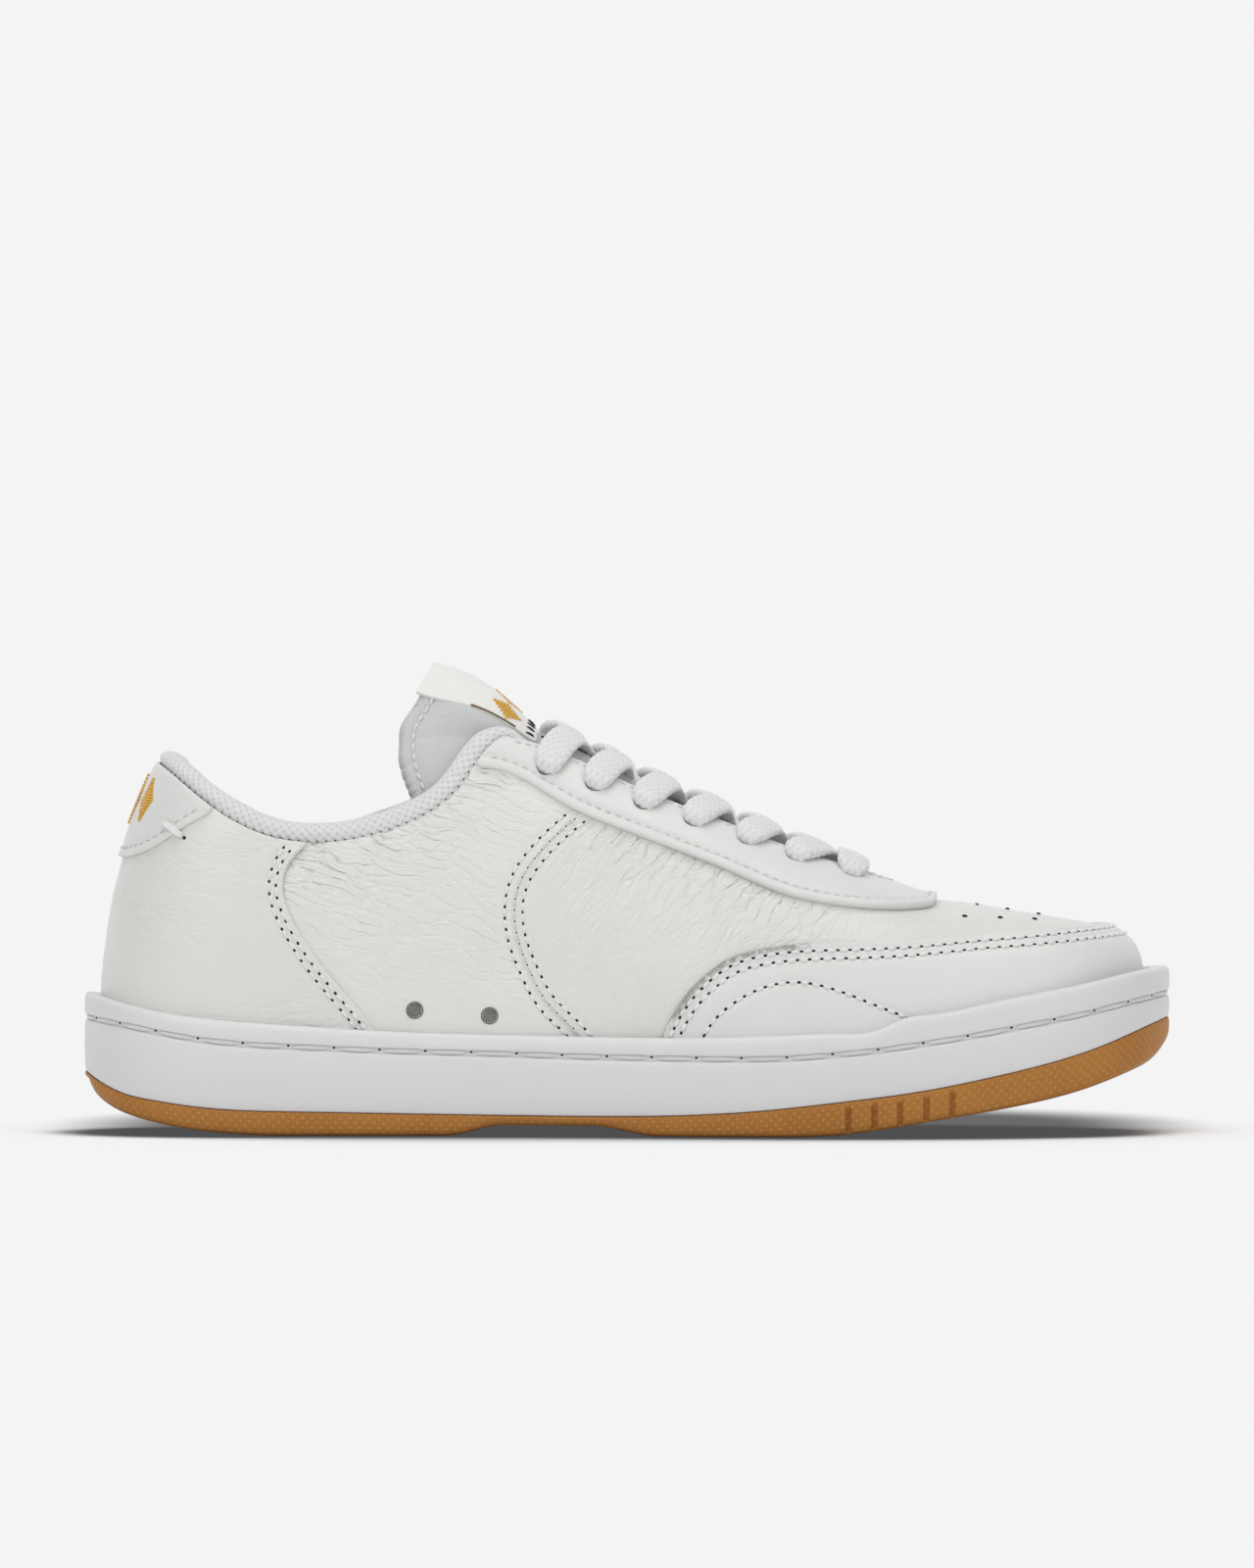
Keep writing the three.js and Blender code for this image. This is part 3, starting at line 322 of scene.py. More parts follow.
def face_point(w, v):
    """The leather's outer face: w round the shoe, v from feather edge 0 to crest 1."""
    u = np.where(w <= 1, w, 2 - w)
    side = np.where(w <= 1, -1.0, 1.0)
    x = FEATHER_X(w)
    foot = np.stack([x, FEATHER_Y(w), BED_Z(x)], -1)
    cx = CREST_X(u)
    crest = np.stack([cx, CREST_Y(cx), CREST_Z(cx)], -1)
    ahead = unit(np.stack([
        np.ones_like(cx), CREST_Y(cx + 0.5) - CREST_Y(cx - 0.5), CREST_Z(cx + 0.5) - CREST_Z(cx - 0.5)
    ], -1))
    angle = np.radians(TURN(u))[..., None]
    across = np.stack([np.zeros_like(side), -side, np.zeros_like(side)], -1)
    inward = across * np.cos(angle) + ahead * np.sin(angle)
    depth = np.hypot(crest[..., 0] - foot[..., 0], crest[..., 1] - foot[..., 1])
    low = foot + outward(w) * (2.4 - 1.4 * smooth(u, 0, 0.25))[..., None]
    low[..., 2] += RISE(u) * (crest[..., 2] - foot[..., 2])
    high = crest - inward * (RUN(u) * depth)[..., None]
    v = v[..., None]
    return foot * (1 - v) ** 3 + 3 * low * v * (1 - v) ** 2 + 3 * high * v * v * (1 - v) + crest * v**3


class Skin:
    """A fine triangle lattice of the master surface, with normals."""

    def __init__(self):
        toe = 2000
        probe = np.linspace(0, 2, 2 * toe + 1)
        length = along(np.stack([FEATHER_X(probe), FEATHER_Y(probe)], -1))
        self.half = int(length[-1] / STEP / 2)
        w = np.interp(np.linspace(0, length[toe], self.half + 1), length[: toe + 1], probe[: toe + 1])
        self.w = np.r_[w[:-1], 2 - w[:0:-1]]
        columns, rows = len(self.w), int(PROFILE_LENGTH / STEP)
        grid_w, grid_v = np.meshgrid(self.w, np.linspace(0, 1, rows + 1))
        points = face_point(grid_w.ravel(), grid_v.ravel())
        index = np.arange(len(points)).reshape(rows + 1, columns)
        for k in range(self.half + 1, columns):
            index[rows, k] = index[rows, columns - k]
        a, b = index[:-1], np.roll(index[:-1], -1, 1)
        c, d = np.roll(index[1:], -1, 1), index[1:]
        tris = np.concatenate([
            np.stack([a, b, c], -1).reshape(-1, 3), np.stack([a, c, d], -1).reshape(-1, 3)
        ])
        a, b, c = tris.T
        self.tris = tris[(a != b) & (b != c) & (a != c)]
        self.points = points
        self.normals = vertex_normals(points, self.tris)
        self.v_of = grid_v.ravel()


def vertex_normals(points, tris):
    """Normals of the points, weighted by the area of the triangles round them."""
    cross = np.cross(points[tris[:, 1]] - points[tris[:, 0]], points[tris[:, 2]] - points[tris[:, 0]])
    total = np.zeros_like(points)
    for k in range(3):
        np.add.at(total, tris[:, k], cross)
    return unit(total)


SKIN = Skin()
X, Y, Z = SKIN.points.T
ACROSS = Y - CREST_Y(X)  # positive on the lateral side of the crest


def distance_to_line(flat, line):
    """Signed distance of 2-D points from a polyline, positive on its left, and the unit way from it."""
    a, b = line[:-1], line[1:]
    run = b - a
    long = (run**2).sum(1)
    best = np.full(len(flat), 1e9)
    sign = np.ones(len(flat))
    way = np.zeros_like(flat)
    batch = 4000
    for start in range(0, len(flat), batch):
        p = flat[start : start + batch]
        rel = p[:, None] - a[None]
        t = np.clip((rel * run[None]).sum(2) / long, 0, 1)
        gap = rel - t[..., None] * run[None]
        d2 = (gap**2).sum(2)
        k = d2.argmin(1)
        rows = np.arange(len(p))
        near = gap[rows, k]
        turn = run[k, 0] * rel[rows, k, 1] - run[k, 1] * rel[rows, k, 0]
        span = slice(start, start + len(p))
        best[span] = np.sqrt(d2[rows, k])
        sign[span] = np.where(turn >= 0, 1, -1)
        way[span] = near
    return best * sign, unit(way)


def field(knots, view="side"):
    """Distance over the surface from a line given in a view, positive on the line's left."""
    axes = [0, 2] if view == "side" else [0, 1]
    line = through(knots) if view == "side" else np.array(knots, float)
    d, way = distance_to_line(SKIN.points[:, axes], line)
    lean = (SKIN.normals[:, axes] * way).sum(1)
    return d / np.sqrt(np.clip(1 - lean**2, 0.03, 1))


def throat_outline():
    """The gap between the eyestays seen from above, round at its front end."""
    xs = np.arange(-70, THROAT_END_X, 2.0)
    angles = np.radians(np.arange(-90, 91, 6))
    end_x = THROAT_END_X + THROAT_END_LENGTH * np.cos(angles)
    end = np.stack([end_x, CREST_Y(end_x) + THROAT(THROAT_END_X) * np.sin(angles)], -1)
    near = np.stack([xs, CREST_Y(xs) - THROAT(xs)], -1)
    far = np.stack([xs[::-1], CREST_Y(xs[::-1]) + THROAT(xs[::-1])], -1)
    return np.vstack([near, end, far])


BELOW_TOP = -field(TOP_LINE)  # positive below the collar's top line
OUTSIDE_THROAT = np.where(X < -64, 50.0, -field(throat_outline(), "plan"))
HEEL_SIDE = field(HEEL_SEAM)  # positive on the heel quarter
BEHIND_SEAM = field(SIDE_SEAM)  # positive behind the vamp's edge
UNDER_TOE = -field(TOE_SEAM)
IN_EYESTAY = field(EYESTAY_EDGE)
IN_TAB = field(HEEL_TAB_EDGE)
ABOVE_FOOT = Z - RIM_Z(X) + PANEL_FOOT  # positive above the panels' lower edges
IN_UPPER = np.minimum(BELOW_TOP, OUTSIDE_THROAT)


# ------------------------------------------------------------------ cutting and tracing the skin
def cut(values, level, fields):
    """The part of the skin where values exceed level, with its points, normals and other fields."""
    inside = values > level
    corner_in = inside[SKIN.tris]
    count = corner_in.sum(1)
    data = np.column_stack([SKIN.points, SKIN.normals, *fields])
    total = len(data)

    def rolled(which, lead):
        t = SKIN.tris[which]
        first = (corner_in[which] == lead).argmax(1)
        return np.stack([t[np.arange(len(t)), (first + k) % 3] for k in range(3)], 1)

    one, two = rolled(count == 1, True), rolled(count == 2, False)
    pairs = np.sort(np.vstack([one[:, [0, 1]], one[:, [0, 2]], two[:, [0, 1]], two[:, [0, 2]]]), 1)
    keys, inverse = np.unique(pairs[:, 0] * total + pairs[:, 1], return_inverse=True)
    low, high = keys // total, keys % total
    t = np.clip((level - values[low]) / (values[high] - values[low]), 0.04, 0.96)[:, None]
    data = np.vstack([data, data[low] * (1 - t) + data[high] * t])
    new = inverse.ravel() + total
    n1, n2 = len(one), len(two)
    ab1, ac1, ab2, ac2 = new[:n1], new[n1 : 2 * n1], new[2 * n1 : 2 * n1 + n2], new[2 * n1 + n2 :]
    tris = np.vstack([
        SKIN.tris[count == 3],
        np.stack([one[:, 0], ab1, ac1], 1),
        np.stack([ab2, two[:, 1], two[:, 2]], 1),
        np.stack([ab2, two[:, 2], ac2], 1),
    ])
    used, tris = np.unique(tris, return_inverse=True)
    data = data[used]
    data[:, 3:6] = unit(data[:, 3:6])
    return data, tris.reshape(-1, 3)


def boundary_loops(tris):
    """The closed loops of points round the open edges of a sheet."""
    edges = np.vstack([tris[:, [0, 1]], tris[:, [1, 2]], tris[:, [2, 0]]])
    size = edges.max() + 1
    keys = edges[:, 0] * size + edges[:, 1]
    open_edges = edges[~np.isin(keys, edges[:, 1] * size + edges[:, 0])]
    follow = {}
    for a, b in open_edges.tolist():
        follow.setdefault(a, []).append(b)
    loops = []
    while follow:
        start = next(iter(follow))
        loop, here = [start], start
        while True:
            nexts = follow[here]
            here = nexts.pop()
            if not nexts:
                del follow[loop[-1]]
            if here == start or here not in follow:
                break
            loop.append(here)
        loops.append(np.array(loop))
    return loops


def trace(values, level, height, keep):
    """Lines on the skin where values equal level and keep > 0: points lifted by height, and normals."""
    above = values > level
    mixed = SKIN.tris[(above[SKIN.tris].sum(1) % 3) != 0]
    ends = []
    for k in range(3):
        a, b = mixed[:, k], mixed[:, (k + 1) % 3]
        crossing = above[a] != above[b]
        ends.append(np.where(crossing, np.minimum(a, b) * len(values) + np.maximum(a, b), -1))
    ends = np.stack(ends, 1)
    pairs = [[k for k in row if k >= 0] for row in ends.tolist()]
    links = {}
    for a, b in pairs:
        links.setdefault(a, []).append(b)
        links.setdefault(b, []).append(a)
    lines = []
    while links:
        start = next((k for k, v in links.items() if len(v) == 1), next(iter(links)))
        line, here = [start], start
        while links.get(here):
            ahead = links[here].pop()
            links[ahead].remove(here)
            if not links[here]:
                del links[here]
            here = ahead
            line.append(here)
        links.pop(here, None)
        lines.append(np.array(line))
    lifted = SKIN.points + SKIN.normals * np.reshape(height, (-1, 1))
    data = np.column_stack([lifted, SKIN.normals, keep])
    result = []
    for line in lines:
        low, high = line // len(values), line % len(values)
        t = ((level - values[low]) / (values[high] - values[low]))[:, None]
        row = data[low] * (1 - t) + data[high] * t
        good = row[:, 6] > 0
        if line[0] == line[-1] and not good.all():
            turn = -int((~good).argmax())
            row, good = np.roll(row[:-1], turn, 0), np.roll(good[:-1], turn)
        for run in np.split(np.arange(len(row)), np.flatnonzero(np.diff(good)) + 1):
            if good[run[0]] and len(run) > 4:
                result.append((row[run, :3], unit(row[run, 3:6])))
    return result


def even(points, spacing):
    """The same line with even spacing and its zigzag smoothed out."""
    s = along(points)
    out = resample(points, np.linspace(0, s[-1], max(3, int(s[-1] / spacing))))[0]
    settle(out, 3)
    return out


# ------------------------------------------------------------------ making pieces
def piece(name, points, faces, material, body="shoe", slot=None, replaces=(), uv=None, fields=None):
    """An object from points in the shoe's axes, on a body, and the nodes it replaces; its CAD slot is not
    used.
    """
    mesh = bpy.data.meshes.new(name)
    faces = faces.tolist() if isinstance(faces, np.ndarray) else faces
    mesh.from_pydata(((np.asarray(points) - MIDDLE) * MM).tolist(), [], faces)
    mesh.shade_smooth()
    mesh.materials.append(material)
    for field_name, values in (fields or {}).items():
        layer = mesh.attributes.new(field_name, "FLOAT", "POINT")
        layer.data.foreach_set("value", np.asarray(values, np.float32))
    if uv is not None:
        corners = np.zeros(len(mesh.loops), np.int32)
        mesh.loops.foreach_get("vertex_index", corners)
        layer = mesh.uv_layers.new(name="UVMap")
        layer.data.foreach_set("uv", np.asarray(uv, np.float32)[corners].ravel())
    obj = bpy.data.objects.new(name, mesh)
    bpy.context.scene.collection.objects.link(obj)
    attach(obj, body)
    if replaces:
        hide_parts(*replaces)
    return obj


def panel(name, values, low, high, material, edge=0.5, under=0.0, crease=0.0, **more):
    """A sheet of the upper where values > 0, between heights low and high, with rounded rims.

    edge is the outer rim's radius and under the inner one's. crease says how far the leather folds.
    """
    full = np.zeros(len(values))
    data, tris = cut(values, edge, [full + low, full + high, full + crease])
    points, normals, lows, highs = data[:, :3], data[:, 3:6], data[:, 6:7], data[:, 7:8]
    outer, inner = points + normals * highs, points + normals * lows
    count = len(points)
    rings = [outer, inner]
    faces = [tris, tris[:, ::-1] + count]
    start = 2 * count
    creases = [data[:, 8], data[:, 8]]
    sides = [np.ones(count), -np.ones(count)]
    for loop in boundary_loops(tris):
        p, n = points[loop], normals[loop]
        t = unit(np.roll(p, -1, 0) - np.roll(p, 1, 0))
        for _ in range(2):
            t = unit(t + np.roll(t, 1, 0) + np.roll(t, -1, 0))
        side = unit(np.cross(t, n))
        chain = [loop]
        rim = [(degrees, highs[loop], -edge) for degrees in (35, 62, 90)]
        rim += [(degrees, lows[loop], under) for degrees in ((90, 45) if under else (90,))]
        for degrees, level, rise in rim:
            a = math.radians(degrees)
            rings.append(p + side * edge * math.sin(a) + n * (level + rise * (1 - math.cos(a))))
            chain.append(start + np.arange(len(loop)))
            start += len(loop)
        creases += [np.zeros(len(loop))] * (len(chain) - 1)
        sides += [np.zeros(len(loop))] * (len(chain) - 1)
        chain.append(loop + count)
        for a, b in zip(chain, chain[1:]):
            a2, b2 = np.roll(a, -1), np.roll(b, -1)
            faces += [np.stack([a, b, b2], 1), np.stack([a, b2, a2], 1)]
    return piece(name, np.vstack(rings), np.vstack(faces), material,
                 fields={"crease": np.concatenate(creases), "side": np.concatenate(sides)}, **more)


def puff(obj, side, inside, pressure, cap, frames=20):
    """Fills the padding behind one side of a sheet: that side becomes cloth, held at its seams.

    side is 1 for the sheet's outer face and -1 for its inner one, inside picks the padded points
    (in mm, in the shoe's axes), and no point moves further than cap mm.
    """
    scene = bpy.context.scene
    mesh = obj.data
    points = np.empty(3 * len(mesh.vertices), np.float32)
    mesh.vertices.foreach_get("co", points)
    points = points.reshape(-1, 3).astype(float)
    sides = np.empty(len(points), np.float32)
    mesh.attributes["side"].data.foreach_get("value", sides)
    corners = np.empty(len(mesh.loops), np.int32)
    mesh.loops.foreach_get("vertex_index", corners)
    tris = corners.reshape(-1, 3)
    free = (sides == side) & inside(points / MM + MIDDLE)
    used, sheet = np.unique(tris[free[tris].all(1)], return_inverse=True)
    sheet = sheet.reshape(-1, 3)
    edges = np.vstack([sheet[:, [0, 1]], sheet[:, [1, 2]], sheet[:, [2, 0]]])
    lone = ~np.isin(edges[:, 0] * len(used) + edges[:, 1], edges[:, 1] * len(used) + edges[:, 0])
    work_mesh = bpy.data.meshes.new("padding")
    work_mesh.from_pydata((points[used] * CLOTH_SCALE).tolist(), [], sheet.tolist())
    work = bpy.data.objects.new("padding", work_mesh)
    scene.collection.objects.link(work)
    seams = work.vertex_groups.new(name="seams")
    seams.add(np.unique(edges[lone]).tolist(), 1.0, "REPLACE")
    cloth = work.modifiers.new("cloth", "CLOTH")
    cloth.settings.quality = 5
    cloth.settings.mass = 0.1
    cloth.settings.shrink_min = -0.02
    cloth.settings.vertex_group_mass = "seams"
    cloth.settings.use_pressure = True
    cloth.settings.uniform_pressure_force = pressure
    cloth.settings.effector_weights.gravity = 0
    cloth.point_cache.frame_end = frames
    for frame in range(1, frames + 1):
        scene.frame_set(frame)
    filled = work.evaluated_get(bpy.context.evaluated_depsgraph_get())
    after = np.empty(3 * len(used), np.float32)
    filled.data.vertices.foreach_get("co", after)
    move = after.reshape(-1, 3) / CLOTH_SCALE - points[used]
    size = np.linalg.norm(move, axis=1, keepdims=True)
    points[used] += move * np.minimum(1, cap * MM / np.maximum(size, 1e-9))
    mesh.vertices.foreach_set("co", points.astype(np.float32).ravel())
    mesh.update()
    bpy.data.objects.remove(work)
    bpy.data.meshes.remove(work_mesh)
    scene.frame_set(1)


def sweep(rows, size, closed_path=False):
    """Faces that join rows of closed sections, each of the same size, and cap an open path."""
    grid = np.arange(rows * size).reshape(rows, size)
    faces = []
    for r in range(rows if closed_path else rows - 1):
        a, b = grid[r], grid[(r + 1) % rows]
        faces += np.stack([a, np.roll(a, -1), np.roll(b, -1), b], 1).tolist()
    if not closed_path:
        faces += [grid[0][::-1].tolist(), grid[-1].tolist()]
    return faces


def turned(place, normal, section, count):
    """A ring turned about a normal, from a closed section of (radius, height) points."""
    side_way = unit(np.cross(normal, [0, 0, 1.0]))
    up_way = np.cross(side_way, normal)
    points = [place + normal * height + (side_way * math.cos(a) + up_way * math.sin(a)) * radius
              for a in ring_angles(count) for radius, height in section]
    return np.array(points), sweep(count, len(section), closed_path=True)


class Bits:
    """Many small closed bits gathered into one piece."""

    def __init__(self):
        self.points = []
        self.faces = []
        self.count = 0

    def add(self, points, faces):
        self.points.append(np.asarray(points))
        self.faces += [[i + self.count for i in face] for face in faces]
        self.count += len(points)

    def make(self, name, material, **more):
        return piece(name, np.vstack(self.points), self.faces, material, **more)


def stitch(bits, points, normals, radius, sink=0.35, lift=0.2, flat=0.8):
    """One thread stitch along a short path: it dips into the leather at both ends."""
    stations, sides = 7, 6
    t = np.linspace(0, 1, stations)
    p, n = resample(points, t * along(points)[-1], normals)
    n = unit(n)
    run = unit(np.gradient(p, axis=0))
    side = unit(np.cross(run, n))
    arch = np.sin(np.pi * t) ** 0.5
    height = (-sink + (sink + lift) * arch)[:, None]
    thick = (radius * (0.55 + 0.45 * arch))[:, None]
    rings = [p + n * height + side * math.cos(a) * thick + n * math.sin(a) * thick * flat
             for a in ring_angles(sides)]
    bits.add(np.stack(rings, 1).reshape(-1, 3), sweep(stations, sides))


def hole(bits, point, normal, way, long=0.45, wide=0.33):
    """A needle hole drawn as a shallow near-black lens that sits just proud of the leather: painted shade."""
    side = unit(np.cross(normal, way))
    n = 8
    rim = [point + way * long * math.cos(a) + side * wide * math.sin(a) - normal * 0.12
           for a in ring_angles(n)]
    top = [point + (q - point + normal * 0.12) * 0.6 + normal * 0.07 for q in rim]
    points = [*rim, *top, point + normal * 0.09, point - normal * 0.3]
    pairs = [(i, (i + 1) % n) for i in range(n)]
    faces = [[i, j, n + j, n + i] for i, j in pairs]
    faces += [[n + i, n + j, 2 * n] for i, j in pairs]
    faces += [[j, i, 2 * n + 1] for i, j in pairs]
    bits.add(points, faces)


def stitch_row(threads, holes, line, pitch, radius=0.44, hole_size=0.7, lift=0.28):
    """Stitches of one pitch along a line, with a needle hole at each end of each stitch."""
    raw, raw_normals = line
    points = even(raw, 0.8)
    normals = unit(resample(raw, along(raw)[-1] * np.linspace(0, 1, len(points)), raw_normals)[1])
    length = along(points)[-1]
    margin, gap = 1.0, 0.75
    count = int((length - 2 * margin) / pitch)
    if count < 1:
        return
    offset = (length - count * pitch) / 2
    for i in range(count + 1):
        here = offset + i * pitch
        if holes is not None:
            p, n = resample(points, np.array([here, here + 0.2]), normals)
            hole(holes, p[0], unit(n[0]), unit(p[1] - p[0]), hole_size, hole_size * 0.72)
        if i < count:
            p, n = resample(points, np.linspace(here + gap / 2, here + pitch - gap / 2, 7), normals)
            stitch(threads, p, n, radius, lift=lift)


# ------------------------------------------------------------------ materials
class Look:
    """A principled material built from procedural nodes."""

    def __init__(self, name, colour, rough, metal=0.0, sheen=0.0):
        self.mat = bpy.data.materials.new(name)
        self.mat.use_nodes = True
        self.tree = self.mat.node_tree
        self.shader = self.tree.nodes["Principled BSDF"]
        self.shader.inputs["Base Color"].default_value = (*colour, 1)
        self.shader.inputs["Roughness"].default_value = rough
        self.shader.inputs["Metallic"].default_value = metal
        self.shader.inputs["Sheen Weight"].default_value = sheen
        self.colour = (*colour, 1)
        self.place = self.node("ShaderNodeTexCoord").outputs["Object"]
        self.heights = []

    def node(self, kind, **inputs):
        made = self.tree.nodes.new(kind)
        for key, value in inputs.items():
            self.feed(made.inputs[key.replace("_", " ")], value)
        return made

    def feed(self, socket, value):
        if isinstance(value, bpy.types.NodeSocket):
            self.tree.links.new(value, socket)
        else:
            socket.default_value = value

    def math(self, operation, a, b=0.0):
        made = self.tree.nodes.new("ShaderNodeMath")
        made.operation = operation
        self.feed(made.inputs[0], a)
        self.feed(made.inputs[1], b)
        return made.outputs[0]

    def times(self, a, b):
        return self.math("MULTIPLY", a, b)

    def blend(self, fac, one, other):
        """A shader that goes from one to the other as fac goes from 0 to 1."""
        made = self.tree.nodes.new("ShaderNodeMixShader")
        for socket, value in zip(made.inputs, (fac, one, other)):
            self.feed(socket, value)
        return made.outputs[0]

    def stretched(self, scale, turn=(0, 0, 0), place=None):
        """Coordinates for a pattern repeated scale times a metre along each axis."""
        mapping = self.node("ShaderNodeMapping", Vector=place or self.place, Rotation=turn,
                            Scale=tuple(1 / v for v in scale))
        mapping.vector_type = "TEXTURE"
        return mapping.outputs[0]

    def noise(self, scale, detail=3.0):
        made = self.node("ShaderNodeTexNoise", Vector=self.place, Scale=scale, Detail=detail, Roughness=0.55)
        return made.outputs["Fac"]

    def cells(self, scale, feature="F1", place=None, randomness=1.0):
        made = self.node("ShaderNodeTexVoronoi", Vector=place or self.place, Scale=scale,
                         Randomness=randomness)
        made.feature = feature
        return made.outputs["Distance"]

    def span(self, value, low, high, to_low=0.0, to_high=1.0):
        made = self.node("ShaderNodeMapRange", Value=value)
        made.interpolation_type = "SMOOTHSTEP"
        for socket, amount in zip(made.inputs[1:5], (low, high, to_low, to_high)):
            socket.default_value = amount
        return made.outputs[0]

    def attribute(self, name):
        made = self.tree.nodes.new("ShaderNodeAttribute")
        made.attribute_name = name
        return made.outputs["Fac"]

    def relief(self, height, millimetres, strength=1.0):
        """Stacks a bump of a real height on those before it."""
        bump = self.node("ShaderNodeBump", Height=height, Strength=strength)
        bump.inputs["Distance"].default_value = millimetres * MM
        if self.heights:
            self.tree.links.new(self.heights[-1], bump.inputs["Normal"])
        self.heights.append(bump.outputs["Normal"])
        self.tree.links.new(self.heights[-1], self.shader.inputs["Normal"])

    def tint(self, fac, other):
        """Mixes the base colour towards another by fac."""
        mix = self.tree.nodes.new("ShaderNodeMix")
        mix.data_type = "RGBA"
        self.feed(mix.inputs["Factor"], fac)
        source = self.shader.inputs["Base Color"]
        if source.is_linked:
            self.tree.links.new(source.links[0].from_socket, mix.inputs[6])
        else:
            mix.inputs[6].default_value = self.colour
        mix.inputs[7].default_value = (*other, 1)
        self.tree.links.new(mix.outputs[2], source)


def leather(name, colour=(0.80, 0.80, 0.77), turn=0.5, amount=1.0):
    """Soft leather whose folds run at a turn about the shoe's cross axis, as deep as amount says."""
    look = Look(name, colour, 0.42)
    warp = look.node("ShaderNodeTexNoise", Vector=look.place, Scale=90.0, Detail=2.0).outputs["Color"]
    mixer = look.tree.nodes.new("ShaderNodeVectorMath")
    mixer.operation = "MULTIPLY_ADD"
    look.feed(mixer.inputs[0], warp)
    mixer.inputs[1].default_value = (0.006, 0.006, 0.006)
    look.feed(mixer.inputs[2], look.place)
    bent = mixer.outputs[0]
    crease = look.attribute("crease")
    long = look.cells(1.0, "DISTANCE_TO_EDGE", look.stretched((85, 85, 330), (0, turn, 0), bent))
    short_place = look.stretched((230, 230, 760), (0, turn * 0.7, 0), bent)
    short = look.cells(1.0, "DISTANCE_TO_EDGE", short_place)
    folds = look.times(look.span(long, 0.0, 0.15, 0, 1), crease)
    small = look.times(look.span(short, 0.0, 0.18, 0, 1), look.span(crease, 0.0, 1.0, 0.12, 0.9))
    look.relief(look.noise(26.0, 3.0), 0.9 * amount, 0.5)
    look.relief(folds, 0.33 * amount, 1.0)
    look.relief(small, 0.15 * amount, 1.0)
    look.relief(look.cells(1150.0, "F1"), 0.03, 0.5)
    look.relief(look.noise(2600.0, 2.0), 0.018, 0.5)
    look.tint(look.span(look.noise(35.0, 2.0), 0.35, 0.75, 0, 0.18), (0.74, 0.74, 0.7))
    look.feed(look.shader.inputs["Roughness"], look.span(look.noise(300.0, 3.0), 0.3, 0.7, 0.31, 0.46))
    return look.mat


def white_rubber():
    """Smooth, faintly uneven white rubber."""
    look = Look("white_rubber", (0.75, 0.75, 0.755), 0.42)
    look.relief(look.noise(1800.0, 2.0), 0.012, 0.4)
    look.relief(look.noise(30.0, 2.0), 0.25, 0.25)
    look.tint(look.span(look.noise(20.0, 3.0), 0.4, 0.8, 0, 0.25), (0.69, 0.69, 0.7))
    look.feed(look.shader.inputs["Roughness"], look.span(look.noise(120.0, 2.0), 0.3, 0.7, 0.38, 0.5))
    return look.mat


DOTS_PER_MM = 0.385  # along the diagonals of the outsole's dotted side


def gum_rubber():
    """Translucent brown gum with rows of raised dots on its wall."""
    look = Look("gum_rubber", (0.45, 0.185, 0.034), 0.5)
    look.shader.inputs["Specular IOR Level"].default_value = 0.3
    unwrapped = look.node("ShaderNodeUVMap").outputs[0]
    u, v = look.node("ShaderNodeSeparateXYZ", Vector=unwrapped).outputs[:2]
    diagonals = [look.times(look.math(way, u, v), DOTS_PER_MM) for way in ("ADD", "SUBTRACT")]
    near = [look.math("ABSOLUTE", look.math("SUBTRACT", look.math("FRACT", d), 0.5)) for d in diagonals]
    away = look.math("SQRT", look.math("ADD", *[look.times(d, d) for d in near]))
    dot = look.times(look.span(away, 0.17, 0.34, 1, 0), look.attribute("wall"))
    look.tint(look.span(look.noise(45.0, 3.0), 0.35, 0.7, 0.0, 0.3), (0.31, 0.115, 0.015))
    look.tint(look.times(dot, 0.36), (0.62, 0.33, 0.1))
    look.relief(dot, 0.12, 0.8)
    look.relief(look.noise(1400.0, 2.0), 0.015, 0.4)
    return look.mat


def knit():
    """Knitted cloth, greyer where its crease attribute is high: painted shade in the collar roll's dimples and
    along its foot.
    """
    look = Look("knit", (0.79, 0.79, 0.78), 0.9, sheen=0.25)
    look.relief(look.cells(1500.0, "F1"), 0.08, 0.7)
    look.relief(look.noise(4200.0, 2.0), 0.03, 0.5)
    # painted shade: the crease attribute greys the colour in the hollows
    look.tint(look.attribute("crease"), (0.52, 0.52, 0.52))
    return look.mat


def lining_cloth():
    """Looped lining with painted shade in the hollows between its loops."""
    look = Look("lining_cloth", (0.78, 0.78, 0.77), 0.92, sheen=0.2)
    loops = look.cells(700.0, "F1", look.stretched((1, 1, 1.4)), 0.35)
    look.relief(loops, 0.25, 0.8)
    look.relief(look.noise(4000.0, 2.0), 0.03, 0.5)
    # painted shade: darker where the loops' relief is lowest
    look.tint(look.span(loops, 0.0, 0.4, 0.5, 0.0), (0.5, 0.5, 0.5))
    return look.mat


def nylon():
    """Plain-woven pale nylon."""
    look = Look("nylon", (0.63, 0.63, 0.63), 0.55, sheen=0.1)
    weave = look.node("ShaderNodeTexChecker", Vector=look.stretched((1, 1, 1), (0, 0.6, 0)), Scale=1500.0)
    look.relief(weave.outputs["Fac"], 0.05, 0.7)
    look.relief(look.noise(60.0, 2.0), 0.4, 0.4)
    look.tint(look.times(weave.outputs["Fac"], 0.22), (0.52, 0.52, 0.53))
    return look.mat


def thread(name, colour, rough=0.6):
    """Twisted sewing thread."""
    look = Look(name, colour, rough, sheen=0.2)
    wave = look.node("ShaderNodeTexWave", Vector=look.stretched((1, 1, 1), (0.4, 0.5, 0.3)), Scale=900.0,
                     Distortion=1.5)
    look.relief(wave.outputs["Fac"], 0.05, 0.6)
    look.tint(look.times(wave.outputs["Fac"], 0.2), tuple(c * 0.8 for c in colour))
    return look.mat


